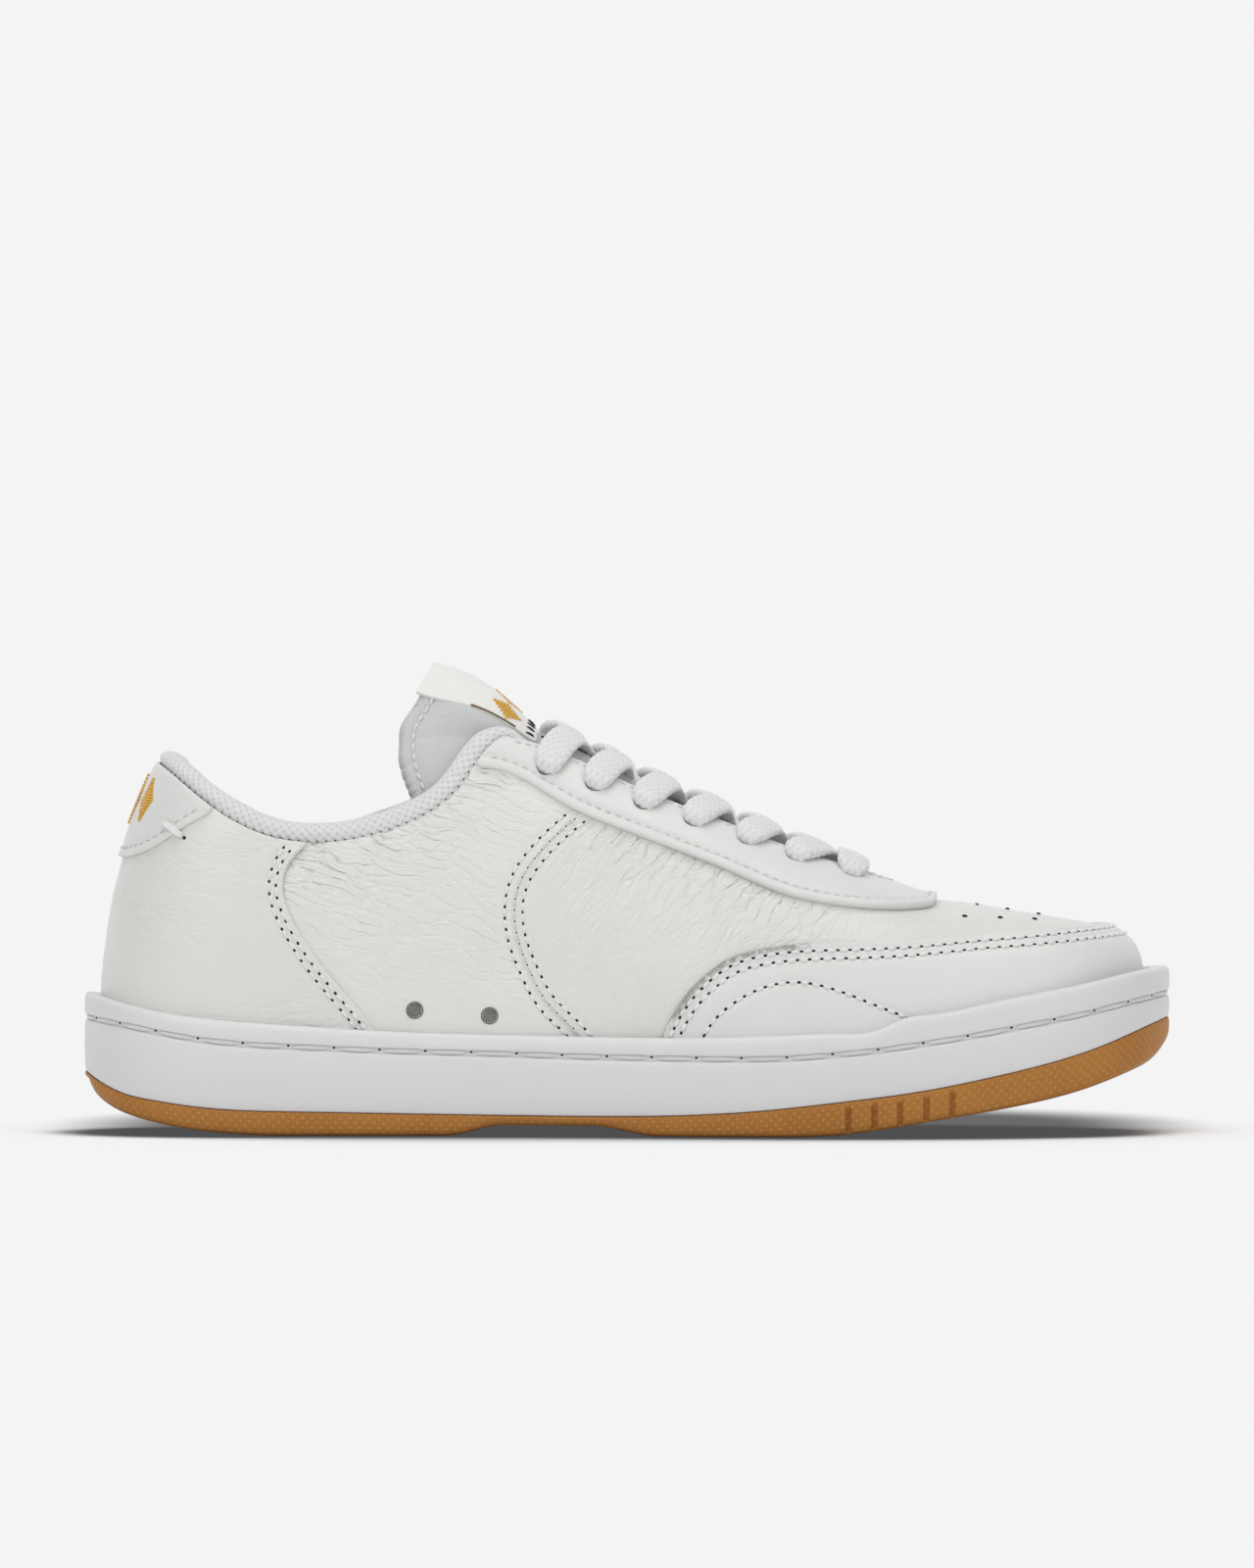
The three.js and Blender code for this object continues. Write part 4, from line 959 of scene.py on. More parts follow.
def lace_cloth():
    """Braided cotton, with painted shade between its diamonds."""
    look = Look("lace_cloth", (0.84, 0.84, 0.83), 0.85, sheen=0.3)
    # painted shade: the crease attribute greys the colour where the weave dips
    look.tint(look.attribute("crease"), (0.56, 0.56, 0.56))
    look.relief(look.noise(3500.0, 2.0), 0.05, 0.6)
    return look.mat


def label_cloth():
    """Ribbed woven tape."""
    look = Look("label_cloth", (0.86, 0.86, 0.83), 0.7, sheen=0.1)
    ribs = look.node("ShaderNodeTexWave", Vector=look.stretched((1, 1, 1), (0, 0.55, 0)), Scale=520.0)
    look.relief(ribs.outputs["Fac"], 0.03, 0.5)
    look.tint(look.times(ribs.outputs["Fac"], 0.12), (0.7, 0.68, 0.6))
    return look.mat


def plain(name, colour, rough, metal=0.0, scale=900.0, height=0.03):
    """An even material with a fine grain."""
    look = Look(name, colour, rough, metal)
    look.relief(look.noise(scale, 3.0), height, 0.5)
    look.tint(look.span(look.noise(scale / 6, 2.0), 0.35, 0.7, 0, 0.3), tuple(c * 0.82 for c in colour))
    return look.mat


LEATHER_MID = leather("leather_mid", turn=0.32)
LEATHER_FORE = leather("leather_fore", (0.765, 0.765, 0.735), turn=-0.95)
LEATHER_HEEL = leather("leather_heel", (0.77, 0.77, 0.74), turn=0.1)
LEATHER_TRIM = leather("leather_trim", (0.77, 0.77, 0.75), amount=0.6)
RUBBER = white_rubber()
GUM = gum_rubber()
KNIT = knit()
LINING = lining_cloth()
NYLON = nylon()
THREAD = thread("white_thread", (0.87, 0.87, 0.85))
GREY_THREAD = thread("grey_thread", (0.66, 0.66, 0.64))
GOLD = thread("gold_thread", (0.72, 0.40, 0.03), 0.4)
# dark brown: partly the label's edge thread, partly painted shade on its folded edge
EDGE_THREAD_SHADE = thread("edge_thread_shade", (0.16, 0.085, 0.02))
RAW_FIBRE = plain("raw_fibre", (0.58, 0.58, 0.56), 0.9)
SOLE_THREAD = thread("sole_thread", (0.75, 0.75, 0.755))
BLACK = plain("black_thread", (0.02, 0.02, 0.022), 0.7)
# near-black for needle holes, perforations and eyelet bores: painted shade of their hollows
HOLE_SHADE = plain("hole_shade_painted", (0.015, 0.015, 0.015), 0.9)
LACE = lace_cloth()
LABEL = label_cloth()
METAL = plain("eyelet_metal", (0.16, 0.16, 0.15), 0.4, 1.0)
VENT_SHADE = plain("vent_ground", (0.06, 0.06, 0.04), 0.6)
GAUZE = plain("vent_gauze", (0.42, 0.42, 0.38), 0.35, 0.7)
FOAM = plain("foam", (0.78, 0.73, 0.6), 0.9, scale=700.0, height=0.1)
BOARD = plain("board", (0.62, 0.5, 0.32), 0.85)
TIP = plain("tip_film", (0.8, 0.8, 0.8), 0.25)

# ------------------------------------------------------------------ upper
# Distances of the stitch rows from their panels' edges.
HEEL_ROWS = (1.9, 3.8)
MID_ROW = 1.8
VAMP_FINE_ROW, VAMP_ROW = 0.9, 3.1
TOE_ROWS = (1.9, 4.2)
TAB_ROW = 2.6
STAY_ROW, THROAT_ROW = 3.2, 1.6
OVERLAP = 0.05  # overlays lie this far above the leather under them
EYELET_CUT = 2.5
VENT_CUT = 1.9


def dip(distance, row, depth=0.3, width=0.9):
    """A shallow channel that a row of stitches pulls into the leather."""
    return -depth * hump(distance, row, width)


def leather_panel(node, values, low, high, material, **more):
    """The panel that stands for a leather node of the CAD."""
    panel(node + "_leather", values, low, high, material, slot="white_leather", replaces=[node], **more)


soft = grain(SKIN.points, 38, 4, 3) * 0.35
TOE_ARC_GAP = field(TOE_ARC)

# heights of the panels' outer faces, and how strongly they crease
mid_height = 0.1 + soft + 0.75 * (1 - fade(-HEEL_SIDE, 3.5)) - 0.75 * fade(BEHIND_SEAM, 4)
mid_height += dip(BEHIND_SEAM, MID_ROW)
heel_height = 0.15 + soft * 0.7 + 1.35 * fade(HEEL_SIDE, 9)
vamp_height = soft * 0.8 + 0.55 * fade(-BEHIND_SEAM, 8) + dip(-BEHIND_SEAM, VAMP_ROW)
toe_height = 1.55 + soft * 0.4
for row in HEEL_ROWS:
    heel_height += dip(HEEL_SIDE, row)
for row in TOE_ROWS:
    toe_height += dip(UNDER_TOE, row, 0.35)
toe_height += dip(np.abs(TOE_ARC_GAP), 0) * (Z < 45)
tab_height = 1.15 + 0.55 * hump(IN_TAB, 1, 1.1) + dip(IN_TAB, TAB_ROW, 0.35, 0.7)
stay_height = 1.75 + 0.5 * hump(IN_EYESTAY, 1.3, 1.3, 4) + dip(IN_EYESTAY, STAY_ROW, 0.55, 0.6)
stay_height += dip(OUTSIDE_THROAT, THROAT_ROW, 0.25, 0.7)
crease_mid = 0.35 + 0.6 * fade(BELOW_TOP, 14) + 0.35 * grain(SKIN.points, 60, 9, 2)
crease_mid = np.clip(crease_mid, 0, 1) * smooth(Z, 30, 44)
crease_fore = np.clip(0.85 * fade(-IN_EYESTAY, 12) + 0.1, 0, 1)
crease_fore *= smooth(X, -30, -12) * (1 - 0.7 * smooth(X, 42, 66))
crease_heel = np.clip(0.16 + 0.3 * grain(SKIN.points, 45, 3, 2), 0, 0.5)

# mid panels: tucked under their neighbours, the medial one with its vents cut out
mid_field = least(IN_UPPER, 2 - HEEL_SIDE, BEHIND_SEAM + 1.5, ABOVE_FOOT)
vent_gap = np.min([np.hypot(X - x, Z - z) for x, z in VENTS], axis=0) - VENT_CUT
leather_panel("medial_mid_panel", np.where(ACROSS < 0, least(mid_field, vent_gap), -1), -LEATHER, mid_height,
              LEATHER_MID, crease=crease_mid)
leather_panel("lateral_mid_panel", np.where(ACROSS > 0, mid_field, -1), -LEATHER, mid_height, LEATHER_MID,
              crease=crease_mid)

# heel quarter: thin where it runs out over the mid panels
heel_low = -LEATHER + (LEATHER + 0.5) * (1 - smooth(HEEL_SIDE, 0.8, 2.2))
leather_panel("heel_quarter", least(BELOW_TOP, HEEL_SIDE, ABOVE_FOOT), heel_low, heel_height, LEATHER_HEEL,
              edge=0.55, crease=crease_heel)


def eyelet(x, side):
    """The middle and the normal of an eyelet, on the skin beside the throat."""
    target = np.array([x, CREST_Y(x) + side * EYELET_OUT(x)])
    away = np.where(SKIN.v_of > 0.5, np.hypot(X - target[0], Y - target[1]), 1e9)
    near = np.argsort(away)[:12]
    weight = 1 / (away[near] ** 2 + 0.05)
    centre = (SKIN.points[near] * weight[:, None]).sum(0) / weight.sum()
    centre[:2] = target
    return {"side": side, "point": centre, "normal": unit(SKIN.normals[near].mean(0))}


# by row from the front and side
EYELETS = {(row, side): eyelet(x, side) for row, x in enumerate(EYELET_X) for side in (-1, 1)}
hole_gap = np.full(len(X), 1e9)
for e in EYELETS.values():
    rel = SKIN.points - e["point"]
    flat = np.linalg.norm(rel - (rel @ e["normal"])[:, None] * e["normal"], axis=1)
    hole_gap = least(hole_gap, np.where(np.linalg.norm(rel, axis=1) < 12, flat - EYELET_CUT, 1e9))

# vamp, toe overlay with its raw edge, heel tab, eyestay
leather_panel("vamp", least(IN_UPPER, -BEHIND_SEAM, ABOVE_FOOT, hole_gap), -LEATHER, vamp_height, LEATHER_FORE,
              crease=crease_fore)
ragged = UNDER_TOE + 0.3 * grain(SKIN.points, 2.8, 21, 2)
leather_panel("toe_overlay", least(ragged, ABOVE_FOOT), OVERLAP, toe_height, LEATHER_TRIM, edge=0.22)
leather_panel("heel_tab", least(BELOW_TOP, IN_TAB), OVERLAP, tab_height, LEATHER_TRIM, edge=0.7, crease=0.25)
leather_panel("eyestay", least(IN_UPPER, IN_EYESTAY, hole_gap), OVERLAP, stay_height, LEATHER_TRIM, edge=0.8,
              crease=0.12)

# ------------------------------------------------------------------ seams
threads, fine_threads, needle_holes = Bits(), Bits(), Bits()
SEEN = ABOVE_FOOT - PANEL_FOOT + 1.5  # positive above the cupsole's rim, and a little below it


def sew(values, level, height, keep, pitch, bits=threads, holes=needle_holes, **more):
    """Rows of stitches along every line where values equal level, apart from scraps of a line."""
    for line in trace(values, level, height, keep):
        if along(line[0])[-1] > 2.5 * pitch:
            stitch_row(bits, holes, line, pitch, **more)


for row in HEEL_ROWS:
    sew(HEEL_SIDE, row, heel_height, least(SEEN, BELOW_TOP - 1, HEEL_SIDE), 3.4)
free_side = least(SEEN, -IN_EYESTAY - 0.3, 60 - np.abs(X + 20))
sew(BEHIND_SEAM, MID_ROW, mid_height, free_side, 3.1)
sew(-BEHIND_SEAM, VAMP_FINE_ROW, vamp_height, free_side, 3.1, bits=fine_threads, hole_size=0.42, radius=0.26)
sew(-BEHIND_SEAM, VAMP_ROW, vamp_height, free_side, 3.1)
for row in TOE_ROWS:
    sew(UNDER_TOE, row, toe_height, SEEN, 3.3, radius=0.62, lift=0.4, hole_size=0.8)
sew(TOE_ARC_GAP, 0.0, toe_height, least(SEEN, UNDER_TOE - 5), 3.1, radius=0.55, lift=0.34, hole_size=0.8)
sew(IN_EYESTAY, STAY_ROW, stay_height, least(IN_UPPER - 1, 90 - X), 2.9, bits=fine_threads, holes=None,
    radius=0.32, lift=0.12)
sew(OUTSIDE_THROAT, THROAT_ROW, stay_height, least(IN_EYESTAY - 4, BELOW_TOP - 2), 2.8, bits=fine_threads,
    holes=None, radius=0.3, lift=0.12)
sew(IN_TAB, TAB_ROW, tab_height, BELOW_TOP - 1, 2.8, bits=fine_threads, holes=None, radius=0.32)


def fibres(bits, values, level, height, keep, spacing, seed):
    """Short hairs that stand out of a raw leather edge."""
    rng = np.random.default_rng(seed)
    for points, normals in trace(values, level, height, keep):
        s = along(points)
        places = np.sort(rng.uniform(0, s[-1], int(s[-1] / spacing)))
        p, n = resample(points, places, normals)
        ahead = resample(points, np.minimum(places + 0.3, s[-1]))[0]
        run = unit(ahead - p + 1e-6)
        side = unit(np.cross(n, run))
        for k in range(len(p)):
            lean, turn, reach = rng.uniform(-1.1, 1.1), rng.uniform(-0.2, 0.9), rng.uniform(0.6, 2.3)
            way = unit(run[k] * math.sin(lean) - side[k] * math.cos(lean) + n[k] * turn)
            bend = unit(run[k] * rng.uniform(-1, 1) + n[k] * rng.uniform(-1, 0.4))
            t = np.array([0, 0.4, 0.75, 1.0])[:, None]
            path = p[k] - way * 0.3 + way * reach * t + bend * 0.45 * reach * t * t
            cross = unit(np.cross(way, n[k] + 0.01))
            other = np.cross(way, cross)
            thick = 0.11 * (1 - 0.55 * t)
            rings = [path + (cross * math.cos(a) + other * math.sin(a)) * thick for a in (0, 2.1, 4.2)]
            bits.add(np.stack(rings, 1).reshape(-1, 3), sweep(4, 3))


raw_edge = Bits()
fibres(raw_edge, UNDER_TOE, -0.1, toe_height * 0.6, least(SEEN, 50 - X), 0.12, 31)
fibres(raw_edge, UNDER_TOE, 0.2, toe_height + 0.1, least(SEEN, 46 - X, X - 12), 0.16, 32)
raw_edge.make("raw_edge_fibres", RAW_FIBRE, slot="white_leather")
threads.make("seam_stitches", THREAD, slot="white_thread")
fine_threads.make("fine_stitches", GREY_THREAD, slot="white_thread")
# the needle holes are near-black lenses: painted shade
needle_holes.make("needle_holes", HOLE_SHADE, slot="white_thread")


# ------------------------------------------------------------------ places on the skin
TREE = BVHTree.FromPolygons(SKIN.points.tolist(), SKIN.tris.tolist())


def on_skin(point, ray=None):
    """The skin's nearest point and normal, or the one a ray from the point meets."""
    hit = TREE.ray_cast(point, ray) if ray else TREE.find_nearest(point)
    return np.array(hit[0]), unit(SKIN.normals[SKIN.tris[hit[2]]].mean(0))


def from_above(x, y):
    return on_skin((x, y, 300), (0, 0, -1))


def from_side(x, z, side):
    return on_skin((x, side * 300, z), (0, -side, 0))


def gather(places):
    """Points and normals of a list of places, as two arrays."""
    points, normals = zip(*places)
    return np.array(points), np.array(normals)


def swell(points):
    """How far the tongue stands up between the eyestays and above the collar."""
    x = points[..., 0]
    across = np.abs(points[..., 1] - CREST_Y(x)) / (THROAT(np.minimum(x, 60)) - 1)
    dome = np.maximum(0, 1 - across**2) * (0.6 + 4.8 * (1 - smooth(x, -50, -8)))
    return dome + TONGUE_LIFT(x) * (1 - smooth(across, 0.75, 1.05))


# ------------------------------------------------------------------ collar
ROLL_END_X = -25.5  # the roll's two ends beside the throat
LINING_SEAM = [(-66, 12), (-44, 60), (-30, 120)]


def collar_path():
    """Even points and normals round the leather's top edge and on along both sides of the throat."""
    lines = trace(BELOW_TOP, 0, 0, least(OUTSIDE_THROAT + 1.5, -19 - X))
    points, normals = max(lines, key=lambda line: len(line[0]))
    if points[0, 1] > points[-1, 1]:
        points, normals = points[::-1], normals[::-1]
    near_x = np.arange(ROLL_END_X, points[0, 0] + 1, -1.0)
    far_x = np.arange(points[-1, 0] + 1, ROLL_END_X + 0.5, 1.0)
    near = [from_above(x, CREST_Y(x) - THROAT(x) - 0.5) for x in near_x]
    far = [from_above(x, CREST_Y(x) + THROAT(x) + 0.5) for x in far_x]
    points, normals = gather([*near, *zip(points, normals), *far])
    length = along(points)[-1]
    distance = np.linspace(0, length, int(length / 0.42))
    p, n = resample(points, distance, normals)
    settle(p, 40)
    settle(n, 40)
    return distance, p, unit(n)


def collar_roll():
    """The knit roll that stands above the leather's edge, all round the opening."""
    distance, p, n = collar_path()
    x, y, z = p.T
    up = unit(np.cross(n, unit(np.gradient(p, axis=0))))
    up *= np.sign(up[len(up) // 2, 2])
    deep = 3.3 + 4 * smooth(z, 56, 72) * (1 - smooth(x, -86, -66)) + 0.8 * smooth(x, -60, -45)
    tall = 5.6 - 3.4 * smooth(x, -38, -27) - 0.9 * smooth(-x, 106, 122)
    tall -= 1.5 * smooth(y, 6, 18) * smooth(-x, 64, 84)
    # section: (share of the depth inward, share of the height upward), hidden foot first
    knots = [(0.3, -0.9), (0.2, -0.2), (-0.02, 0.1), (-0.13, 0.4), (-0.06, 0.72), (0.14, 0.93), (0.45, 1.0),
             (0.75, 0.9), (0.97, 0.55), (1.04, 0.0), (1.02, -0.7), (1.0, -1.6), (0.7, -1.7), (0.4, -1.5)]
    loop = through([*knots, knots[0]], 0.075)[:-1]
    size = len(loop)
    rings = p[:, None] - n[:, None] * (loop[None, :, :1] * deep[:, None, None])
    rings = rings + up[:, None] * (loop[None, :, 1:] * tall[:, None, None])
    girth = np.cumsum(np.r_[0, np.linalg.norm(np.diff(rings[len(p) // 2], axis=0), axis=1)])
    a, b = np.meshgrid(girth / 2.3, distance / 2.5)
    dimple = (np.cos(2 * math.pi * a) / 2 + np.cos(2 * math.pi * b) / 2) ** 2
    flat = rings.reshape(-1, 3)
    faces = sweep(len(p), size)
    quads = np.array([f for f in faces if len(f) == 4])
    away = vertex_normals(flat, np.vstack([quads[:, [0, 1, 2]], quads[:, [0, 2, 3]]]))
    middle = np.repeat(rings.mean(1), size, axis=0)
    if ((flat - middle) * away).sum() < 0:
        away = -away
        faces = [f[::-1] for f in faces]
    flat = flat - away * (0.42 * dimple.reshape(-1, 1)) + away * (0.1 * grain(flat, 9, 5, 2)[:, None])
    # painted shade for the knit's colour: darker in the dimples and in a band along the roll's foot by the
    # leather's edge
    shade = np.clip(dimple * 0.75 + hump(girth, 1.6, 1.3)[None] * 0.7, 0, 1)
    piece("collar_roll", flat, faces, KNIT, slot="knit_lining", fields={"crease": shade.ravel()})
    # needle marks under the roll: near-black lenses, painted shade
    marks = Bits()
    for i in range(6, len(p) - 6, 6):
        hole(marks, p[i] + up[i] * 0.2 + n[i] * 0.3, n[i], unit(p[i + 1] - p[i]), 0.3, 0.2)
    marks.make("collar_needle_marks", HOLE_SHADE, slot="white_thread")


def inner_layers():
    """Lining, collar padding, heel counter and toe puff, each at its depth under the leather's face."""
    lining_in, lining_out = -3.95, -3.1
    shell_in, shell_out = -2.6, -1.7
    pad = 4 * smooth(Z, 56, 72) * (1 - smooth(X, -86, -66))
    above_bed = Z - BED_Z(X) - 1
    behind_seam = field(LINING_SEAM)
    inside = least(BELOW_TOP - 1, OUTSIDE_THROAT, above_bed)
    lining = panel("collar_lining_knit", least(inside, behind_seam), lining_in - pad, lining_out - pad, KNIT,
                   slot="knit_lining", replaces=["collar_lining"])
    puff(lining, -1, lambda p: p[:, 2] > 56, 8.0, 1.4)
    panel("upper_lining_cloth", least(inside, -behind_seam, hole_gap), lining_in, lining_out, LINING,
          slot="knit_lining", replaces=["upper_lining"])
    padded = least(BELOW_TOP - 2, Z - 64, -54 - X, OUTSIDE_THROAT)
    panel("collar_foam_pad", padded, -2.9 - pad, shell_out, FOAM, slot="foam", replaces=["collar_foam"])
    panel("heel_counter_shell", least(62 - Z, -80 - X, above_bed), shell_in, shell_out, BOARD,
          slot="lasting_board", replaces=["heel_counter"])
    panel("toe_puff_shell", least(X - 97, above_bed), shell_in, shell_out, BOARD, slot="lasting_board",
          replaces=["toe_puff"])


collar_roll()
inner_layers()

# ------------------------------------------------------------------ tongue
TOP_OF_TONGUE = 5.9  # its depth under the skin before it swells
BINDING_WIDTH = 5.4
LABEL_FRONT = -24.2
FROM_END = field(TONGUE_END)
ON_TONGUE = least(field(TONGUE_EDGE), FROM_END, 69 - X)
tongue_top = swell(SKIN.points) - TOP_OF_TONGUE


def tongue():
    """Padded face, foam, lining and the rounded binding with its row of stitches."""
    pillow = 0.5 * (1 - fade(FROM_END - 5, 5)) + 0.35 * grain(SKIN.points, 30, 14, 3)
    pillow *= 1 - smooth(X, -30, -20)
    skirt = 4.4 * (1 - smooth(ON_TONGUE, 1.0, 1.9))
    face = panel("tongue_face_nylon", least(ON_TONGUE, FROM_END - 4.0), tongue_top - 1 - skirt,
                 tongue_top + 0.2 * pillow, NYLON, body="tongue", slot="nylon", replaces=["tongue_face"])
    panel("tongue_foam_pad", least(ON_TONGUE - 2.4, FROM_END - 4.2), tongue_top - 5.4, tongue_top - 1.3, FOAM,
          edge=1.2, body="tongue", slot="foam", replaces=["tongue_foam"])
    panel("tongue_lining_cloth", least(ON_TONGUE, FROM_END - 4.2), tongue_top - 6.6, tongue_top - 5.6, LINING,
          body="tongue", slot="knit_lining", replaces=["tongue_lining"])
    panel("tongue_binding_band", least(ON_TONGUE, BINDING_WIDTH - FROM_END), tongue_top - 6.4,
          tongue_top + 0.25 - 0.5 * hump(FROM_END, 4.3, 0.9), NYLON, edge=2.3, under=2.3, body="tongue",
          slot="nylon", replaces=["tongue_binding"])
    puff(face, 1, lambda p: p[:, 0] < -23, 8.0, 1.1)
    stitches = Bits()
    for line in trace(FROM_END, 3.9, tongue_top + 0.05, ON_TONGUE - 1):
        stitch_row(stitches, None, line, 2.9, radius=0.36, lift=0.3)
    stitches.make("tongue_binding_stitches", THREAD, body="tongue", slot="white_thread")


def tongue_place(x, y, lift):
    """A place over the tongue, seen from above, and its normal."""
    point, normal = from_above(x, y)
    return point + normal * (lift - TOP_OF_TONGUE + swell(point)), normal


def draw(bits, points, radius, spacing=1.1):
    """A line of close stitches through points (x, y) on the label."""
    p, n = gather([tongue_place(x, y, 1.25) for x, y in through(points, 0.5)])
    length = along(p)[-1]
    for start in np.arange(0, max(0.1, length - spacing / 2), spacing * 0.7):
        q, m = resample(p, np.linspace(start, min(start + spacing, length), 4), n)
        stitch(bits, q, m, radius, sink=0.15, lift=0.12, flat=0.6)


def label():
    """A woven strip over the tongue's end, with three lozenges, a row of dashes and an edge thread drawn dark
    brown as painted shade on its folded edge.
    """
    values = least(LABEL_HALF(X) - np.abs(ACROSS), LABEL_FRONT - X, FROM_END + 0.9, Z - 95)
    panel("label_strip", values, tongue_top + 0.15, tongue_top + 1.2, LABEL, edge=0.3, body="tongue",
          slot="label_cloth", replaces=["tongue_label"])
    gold, black, brown = Bits(), Bits(), Bits()
    centre_y = float(CREST_Y(-34))
    whole = 6  # longer than any one mark, so that each is a single satin stitch
    for middle in (-6.4, 0, 6.4):
        for k in np.linspace(-0.94, 0.94, 11):
            x, reach = -33.4 + 4.0 * k, 2.9 * (1 - abs(k)) + 0.2
            ends = [(x, centre_y + middle - reach), (x, centre_y + middle + reach)]
            draw(gold, ends, 0.42, whole)
    for v in np.arange(-8.4, 8.5, 2.1):
        draw(black, [(-27.5, centre_y + v - 0.3), (-25.0, centre_y + v + 0.3)], 0.42, whole)
    # the edge thread: partly a real thread, partly painted shade on the label's folded edge
    edge_x = np.linspace(-43, -30.5, 9)
    draw(brown, [(x, float(CREST_Y(x) - LABEL_HALF(x)) + 0.25) for x in edge_x], 0.36)
    gold.make("label_gold_marks", GOLD, body="tongue", slot="label_cloth")
    black.make("label_dark_hatch", BLACK, body="tongue", slot="label_cloth")
    brown.make("label_edge_thread", EDGE_THREAD_SHADE, body="tongue", slot="label_cloth")


tongue()
label()

# ------------------------------------------------------------------ lace
UNDER, OVER = -3.9, 3.1  # heights of a braid beside the tongue and over the eyestay
SLANT = 1.7  # a crossing braid turns towards its eyelet late
LACE_FULL = LACE_WIDTH + 0.6  # spread over the tongue
# for each station down the hole: drop, way ahead, width, thickness and lean
PLUNGE = [
    (0.4, 0.4, 7.7, 3.6, 0.5), (1.4, 0.9, 6.7, 3.7, 1.3), (2.8, 0.6, 5.0, 3.3, 2.6),
    (4.8, 0.0, 3.7, 2.6, 4.0),
]


def woven_band(bits, crease, stations):
    """A flat braid through stations of (centre, normal, width, thickness), woven in diamonds."""
    centres, normals, widths, thicks = (np.array(column) for column in zip(*stations))
    length = along(centres)[-1]
    fine = np.linspace(0, length, max(8, int(length / 0.38)))
    p, n, size = resample(centres, fine, normals, np.stack([widths, thicks], 1))
    settle(p, 6)
    run = unit(np.gradient(p, axis=0))
    wide = unit(np.cross(n, run))
    thick = unit(np.cross(run, wide))
    angles = ring_angles(36)
    ca, sa = np.cos(angles), np.sin(angles)
    across = np.sign(ca) * np.abs(ca) ** 0.75
    over = np.sign(sa) * np.abs(sa) ** 0.75
    a = across[None] * size[:, :1] / 2
    over_band, along_band = a / 1.9, fine[:, None] / 2.7
    weave = np.cos(math.pi * (over_band + along_band)) * np.cos(math.pi * (over_band - along_band))
    bump = 0.42 * np.abs(weave) ** 0.8
    rings = p[:, None] + wide[:, None] * (a + bump * across[None] * 0.6)[..., None]
    rings = rings + thick[:, None] * (over[None] * size[:, 1:2] / 2 + bump * over[None])[..., None]
    bits.add(rings.reshape(-1, 3), sweep(len(p), len(angles)))
    # painted shade for the lace's colour, strongest where the weave's diamonds dip between each other
    crease.append((1 - np.abs(weave)).ravel() ** 3 * 0.5)


def dive(stations, eyelet):
    """Ends a braid in an eyelet: it rounds over, bunches and goes down the hole."""
    run = unit(stations[-1][0] - stations[-3][0])
    for drop, ahead, width, thick, lean in PLUNGE:
        centre = eyelet["point"] + eyelet["normal"] * (OVER + 0.6 - drop) + run * (ahead - 0.6)
        stations.append((centre, unit(eyelet["normal"] + run * lean), width, thick))


def strand(start, end, lift):
    """From under one eyelet, across the tongue, over the far edge and down into the next eyelet."""
    a, b = start["point"], end["point"]
    stations = []
    for t in np.linspace(0, 0.93, 34):
        x, y = a[0] + (b[0] - a[0]) * t**SLANT, a[1] + (b[1] - a[1]) * t
        point, normal = from_above(x, y)
        across = (y - CREST_Y(x)) * end["side"] / THROAT(x)
        low = UNDER + swell(point) + (lift + 1) * smooth(across, -0.65, -0.15)
        depth = max(low, low + (OVER + 0.3 - low) * smooth(across, -0.1, 0.72))
        width = 3.2 + (LACE_FULL - 3.2) * float(smooth(t, 0, 0.2))
        thick = LACE_THICK + 1.7 * float(smooth(t, 0.68, 0.9))
        stations.append((point + normal * depth, normal, width, thick))
    dive(stations, end)
    return stations


def front_bar(start, end):
    """Half of the straight bar at the front, from its middle down into one eyelet."""
    a, b = start["point"], end["point"]
    stations = []
    for t in np.linspace(0, 1, 14):
        share = 0.49 + 0.44 * t
        point, normal = from_above(a[0], a[1] + (b[1] - a[1]) * share)
        thick = LACE_THICK + 1.7 * smooth(t, 0.4, 1)
        stations.append((point + normal * (OVER + 0.5), normal, LACE_FULL, thick))
    dive(stations, end)
    return stations


def lace():
    """Crossing strands from row to row, the upper one in turn from either side, and the front bar."""
    bits, crease = Bits(), []
    for row in range(len(EYELET_X) - 1):
        for side in (-1, 1):
            upper = (1 if row % 2 else -1) == side
            lift = LACE_THICK + 0.35 if upper else 0
            woven_band(bits, crease, strand(EYELETS[row, side], EYELETS[row + 1, -side], lift))
    for side in (1, -1):
        woven_band(bits, crease, front_bar(EYELETS[0, side], EYELETS[0, -side]))
    bits.make("lace_braid", LACE, slot="lace_cloth", replaces=["lace"],
              fields={"crease": np.concatenate(crease)})


def eyelet_bores():
    """The wall inside each eyelet, near-black as painted shade of the hole."""
    bores = Bits()
    outer, inner, bottom, top = 2.65, 2.4, -3.8, 0.9
    section = [(outer, bottom), (outer, top), (inner, top), (inner, bottom)]
    for e in EYELETS.values():
        bores.add(*turned(e["point"], e["normal"], section, 24))
    bores.make("eyelet_bores", HOLE_SHADE, slot="white_leather")


lace()
eyelet_bores()

# ------------------------------------------------------------------ vents, perforations, heel tab marks
def height_at(heights, place):
    """A height of the skin's points, read at the one nearest to a place."""
    return float(heights[np.linalg.norm(SKIN.points - place, axis=1).argmin()])


